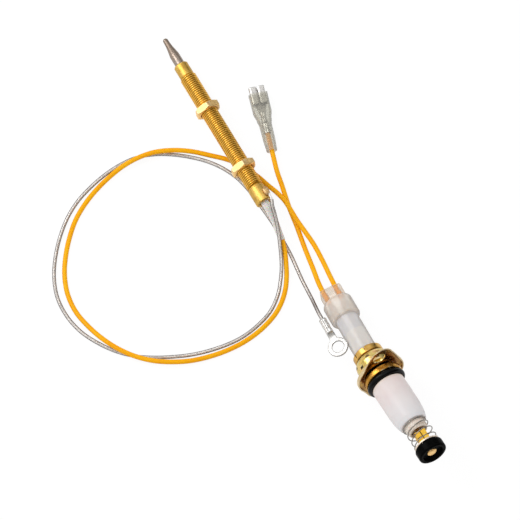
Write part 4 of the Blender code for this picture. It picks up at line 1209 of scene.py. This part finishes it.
# Base with its socket, insert and two pins.
base = turned("magnet_base", MAGNET, [
    (0, 9.6), (6.3, 9.6), (6.5, 9.4), (6.5, 3.65, 0.1), (8.9, 3.65, 0.3), (9.2, 3.35, 0.2),
    (9.2, 1.2, 0.2), (8.9, 0.9, 0.3), (6.0, 0.9), (6.0, -12.6), (5.7, -12.8), (5.7, -5.4),
    (0, -5.4)], "base_brass", segs=96, body="magnet_unit")
insert = turned("socket_insert", MAGNET, [
    (0, -5.7), (5.45, -5.7), (5.45, -8.5, 0.3), (0, -8.5)], "dark_insert", body="magnet_unit")
for side, x in (("left", -PORT_X), ("right", PORT_X)):
    cut(base, [rod(0.95, -12.0, 12.0, 24, (x, 0, 0))])
    cut(insert, [rod(0.62, -12.0, 0.0, 24, (x, 0, 0))])
    turned("contact_pin_" + side, MAGNET, [
        (0, 11.0), (0.5, 11.0), (0.5, -13.8, 0.2), (0.25, -14.2), (0, -14.2)], "brass_turned",
        segs=24, at=(x, 0, 0), body="magnet_unit")
shade(base, 35.0)
shade(insert, 35.0)

# Flange: a domed neck in a rhombic plate with two ears.
EAR_AT, EAR_R, PLATE_R = 12.1, 5.5, 11.6
EAR_TURN, HOLE_TURN = math.radians(10.0), math.radians(4.0)
HOLE_AT = 11.9
SLOPE = math.acos((PLATE_R - EAR_R) / EAR_AT)


def from_ears(a):
    """Angle from the line through the ears, 0 to a quarter turn."""
    phi = abs(turn_from(a, math.pi / 2 - EAR_TURN))
    return min(phi, math.pi - phi)


def plate_edge(a, inset):
    """Distance from the middle to the rhombic outline, drawn in by inset."""
    phi = from_ears(a)
    big, small = PLATE_R - inset, EAR_R - inset
    if phi >= SLOPE:
        return big
    if phi <= math.atan2(small * math.sin(SLOPE), EAR_AT + small * math.cos(SLOPE)):
        return EAR_AT * math.cos(phi) + math.sqrt(small ** 2 - (EAR_AT * math.sin(phi)) ** 2)
    return big / math.cos(phi - SLOPE)


def flange_shape(r, z, a):
    """Plate outline; its folded side stands full height by the body and dies away at the ears."""
    if r <= 9.5:
        return r, z
    if z > -0.8:
        t = min(max((math.degrees(from_ears(a)) - 26.0) / 34.0, 0.0), 1.0)
        z = -0.8 + (z + 0.8) * (0.04 + 0.96 * smooth_step(t))
    return plate_edge(a, PLATE_R - r), z


flange = turned("flange_plate", MAGNET, [
    (6.3, -8.6, 0.1), (6.3, -9.6, 0.25), (6.8, -9.5, 0.3), (7.6, -8.8, 0.6), (8.3, -7.6, 0.9),
    (8.6, -6.2, 1.5), (8.6, -1.5, 0.5), (PLATE_R, -1.5, 0.7), (PLATE_R, 0.5, 0.15),
    (10.9, 0.5, 0.15), (10.9, -0.8, 0.5), (7.6, -0.8, 0.6), (7.6, -6.2, 1.2), (7.4, -7.2, 0.8),
    (6.9, -8.1, 0.5)], "yellow_passivated_steel", segs=288, radius=0.2, steps=5,
    shape=flange_shape, body="flange", extra=["flange_edge", "recess_shade"])
for poly in flange.data.polygons:
    c = poly.center / MM
    if math.hypot(c.x, c.y) > plate_edge(math.atan2(c.y, c.x), 0.45):
        poly.material_index = 1
ear_hole = lathe([(0, 0.6), (4.3, 0.6), (3.0, -0.92), (3.0, -1.38), (4.3, -2.9), (0, -2.9)], 56)
cut(flange, [shift_mesh(ear_hole, (HOLE_AT * k * math.sin(HOLE_TURN),
                                   HOLE_AT * k * math.cos(HOLE_TURN), 0)) for k in (1, -1)])
# Two staggered rows of six dents round the dome, their sides painted dark as shade.
for k in range(6):
    for degrees, z in ((106, -7.0), (140, -4.4)):
        a = math.radians(degrees + 60 * k)
        cut(flange, [box((0.6, 1.9, 1.3), (8.62 * math.cos(a), 8.62 * math.sin(a), z),
                         Matrix.Rotation(a, 3, "Z"))], material="recess_shade")
shade(flange, 38.0)

# O-ring
O_RING_R, O_RING_TUBE_R, O_RING_Z = 8.0, 1.36, 5.2
o_ring_rows = []
for i in range(128):
    a = TAU * i / 128
    row = []
    for k in range(40):
        b = TAU * k / 40
        r = O_RING_R + O_RING_TUBE_R * math.cos(b)
        row.append((r * math.cos(a), r * math.sin(a), O_RING_Z + O_RING_TUBE_R * math.sin(b)))
    o_ring_rows.append(row)
piece("o_ring", skin(o_ring_rows, closed=True), MAGNET, "black_rubber", "magnet_unit", sharp=80.0)

turned("hood", MAGNET, [
    (3.8, 34.8), (4.4, 34.8, 0.25), (4.4, 33.4, 0.1), (5.0, 33.3, 0.15), (5.0, 30.4, 0.15),
    (6.25, 30.3, 0.35), (6.6, 29.7, 0.8), (7.15, 28.0, 2.0), (7.6, 25.2, 5.0), (7.85, 22.0, 6.0),
    (7.85, 6.8, 0.2), (6.75, 6.8), (6.75, 9.9), (6.9, 10.1), (6.9, 22.0), (6.65, 25.4, 1.5),
    (6.2, 27.8, 0.8), (4.4, 29.2, 0.4), (3.8, 29.8)], "white_hood_plastic", segs=128, radius=0.1,
    steps=6, body="magnet_unit")

# Two-legged core and its coils, whose windings ripple the outside.
core = piece("magnet_core", box((4.4, 10.4, 2.4), (0, 0, 11.7)), MAGNET, "soft_iron",
             "magnet_unit")
windings = ([(1.95, 18.9), (2.6, 18.9)]
            + [(3.02 + 0.08 * math.cos(TAU * i / 8), 18.7 - 5.3 * i / 128) for i in range(129)]
            + [(2.6, 13.2), (1.95, 13.2)])
for side, y in (("left", 3.3), ("right", -3.3)):
    cut(core, [rod(1.8, 12.0, 19.4, 40, (0, y, 0))], "UNION")
    turned("coil_" + side, MAGNET, windings, "copper", segs=40, radius=0.0, at=(0, y, 0),
           body="magnet_unit")
shade(core, 35.0)
bevel(core, 0.25, 35.0)

# ------------------------------------------------------------ valve
turned("armature", MAGNET, [(0, 25.4), (5.8, 25.4), (6.0, 25.2), (6.0, 23.9, 0.2), (0, 23.9)],
       "soft_iron", segs=96, body="valve")
turned("valve_stem", MAGNET, [(0, 46.5), (0.9, 46.5, 0.2), (0.9, 25.6), (0, 25.6)],
       "brass_turned", segs=40, body="valve")
# Square hub, grooved along and across each side.
hub = piece("stem_hub", box((5.0, 5.0, 6.2), (0, 0, 38.8)), MAGNET, "hub_brass", "valve")
grooves = []
for x, y in ((1, 0), (-1, 0), (0, 1), (0, -1)):
    grooves.append(box((0.8 if x else 0.4, 0.8 if y else 0.4, 8.0), (2.5 * x, 2.5 * y, 38.8)))
    grooves.append(box((0.7 if x else 6.0, 0.7 if y else 6.0, 0.34), (2.6 * x, 2.6 * y, 38.9)))
cut(hub, [rod(1.05, 30.0, 46.0, 40)])
# The grooves' sides get the dark metal: painted shade.
cut(hub, grooves, material="recess_shade")
shade(hub, 30.0)
bevel(hub, 0.22, 30.0)
turned("spring_seat_washer", MAGNET, [
    (1.05, 43.0), (5.9, 43.0, 0.15), (6.0, 42.9, 0.1), (6.0, 42.3, 0.1), (5.9, 42.2, 0.15),
    (1.05, 42.2)], "washer_steel", segs=96, radius=0.05, body="valve")
turned("valve_disc", MAGNET, [
    (1.1, 46.3), (4.5, 46.3, 0.5), (4.9, 47.9, 0.5), (5.3, 48.1, 0.3), (6.1, 48.1, 0.4),
    (6.55, 47.8, 0.4), (6.7, 47.3, 0.6), (6.7, 43.9, 0.6), (6.4, 43.3, 0.4), (6.1, 43.15, 0.2),
    (1.1, 43.15)], "valve_rubber", segs=128, radius=0.1, steps=6, body="valve")
turned("stem_rivet", MAGNET, [
    (0, 47.5), (1.4, 47.4, 1.0), (2.2, 47.1, 0.5), (2.4, 46.8, 0.15), (2.3, 46.65, 0.05),
    (0, 46.65)], "rivet_brass", body="valve")

# Return spring: closed end turns, and a slight lean in between.
TURNS, CLOSED, PER_TURN = 4.1, 0.6, 48
SPRING_R, SPRING_START, SPRING_RISE = 5.75, 30.75, 10.4
END_CLIMB = 0.35        # rise of each closed end
spring_line = []
for i in range(int(TURNS * PER_TURN) + 1):
    u = i / PER_TURN
    body = min(max((u - CLOSED) / (TURNS - 2 * CLOSED), 0.0), 1.0)
    climb = END_CLIMB * (min(u, CLOSED) + max(0.0, u - (TURNS - CLOSED))) / CLOSED
    lean = 0.3 * math.sin(math.pi * body)
    a = TAU * u
    spring_line.append(Vector((
        SPRING_R * math.cos(a) + lean, SPRING_R * math.sin(a),
        SPRING_START + climb + lean * (1 - math.cos(a)) + SPRING_RISE * body)))
spring = piece("return_spring", sweep(spring_line, 0.25, 14), MAGNET, "spring_steel",
               "magnet_unit", sharp=60.0)
bpy.context.view_layer.update()
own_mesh(spring)


# ------------------------------------------------------------ studio (metres)
def add_floor():
    """White floor that shows the camera mostly its own glow, and catches soft shadows."""
    data = bpy.data.meshes.new("floor")
    bm = bmesh.new()
    bmesh.ops.create_grid(bm, x_segments=8, y_segments=8, size=2.0)
    bm.to_mesh(data)
    bm.free()
    floor = add_object("floor", data)
    floor.location.z = -0.00006
    s = Shader("floor")
    path = s.node("ShaderNodeLightPath")
    s.set(Base_Color=s.mix(s.spread(s.noise(0.02, detail=2, rough=0.5), 0.0, 1.0),
                           (0.93, 0.93, 0.93), (0.96, 0.96, 0.96)),
          Roughness=0.9, Specular_IOR_Level=0.1)
    glow = s.node("ShaderNodeEmission")
    s.put(glow.inputs["Color"], (1, 1, 1))
    s.put(glow.inputs["Strength"], 1.03)
    seen = s.times(path.outputs["Is Camera Ray"], 0.90)
    s.link(s.mix_shader(seen, s.bsdf, glow), s.surface)
    data.materials.append(MATERIALS["floor"])


def add_world():
    """Reflections see a graded sky, bright above on the -x side; all else sees plain white."""
    world = bpy.data.worlds.new("studio")
    bpy.context.scene.world = world
    world.use_nodes = True
    w = Nodes(world.node_tree)
    w.tree.nodes.clear()
    out = w.node("ShaderNodeOutputWorld")
    coord = w.node("ShaderNodeTexCoord")
    split = w.node("ShaderNodeSeparateXYZ")
    w.link(coord.outputs["Generated"], split.inputs[0])
    x, y, z = split.outputs
    side = w.plus(w.times(z, 0.55), w.times(x, -0.42))
    level = w.plus(w.plus(side, w.times(y, 0.12)), 0.35)
    # level, brightness; a touch warm
    greys = ((0.0, 0.03), (0.34, 0.08), (0.54, 0.42), (0.74, 0.95), (1.0, 0.60))
    sky = w.ramp(level, [(at, (v, v * 0.985, v * 0.96)) for at, v in greys])
    rays = w.node("ShaderNodeLightPath")
    graded = w.node("ShaderNodeBackground")
    w.put(graded.inputs["Color"], sky)
    w.put(graded.inputs["Strength"], 1.0)
    plain = w.node("ShaderNodeBackground")
    w.put(plain.inputs["Color"], (1, 1, 1))
    # full white to the camera, dimmer as light
    w.put(plain.inputs["Strength"], w.plus(w.times(rays.outputs["Is Camera Ray"], 0.42), 0.58))
    w.link(w.mix_shader(rays.outputs["Is Glossy Ray"], plain, graded), out.inputs["Surface"])


def lamp(name, place, size, power, colour=(1, 1, 1)):
    """Area light aimed just above the middle of the floor, hidden from the camera."""
    data = bpy.data.lights.new(name, "AREA")
    data.shape = "RECTANGLE"
    data.size, data.size_y = size
    data.energy = power
    data.color = colour
    ob = add_object(name, data)
    ob.location = place
    aim = Vector((0, 0, 0.01)) - Vector(place)
    ob.rotation_euler = aim.to_track_quat("-Z", "Y").to_euler()
    ob.visible_camera = False


def add_camera():
    data = bpy.data.cameras.new("camera")
    data.lens = 300.0
    data.sensor_width = 36.0
    ob = add_object("camera", data)
    ob.location = (SHIFT + Vector((-0.2, -675.2, 1856.0))) * MM
    ob.rotation_euler = (math.radians(20.0), 0.0, 0.0)
    bpy.context.scene.camera = ob


add_floor()
add_world()
lamp("key", (-0.75, 0.25, 0.95), size=(0.55, 0.9), power=6.6)
lamp("top", (0.05, -0.10, 1.25), size=(0.9, 0.7), power=1.3)
lamp("rim", (0.85, 0.55, 0.45), size=(0.20, 0.8), power=0.9, colour=(1.0, 0.97, 0.94))
add_camera()
bpy.context.scene.view_settings.view_transform = "Standard"
bpy.context.scene.view_settings.look = "None"

bpy.context.view_layer.update()
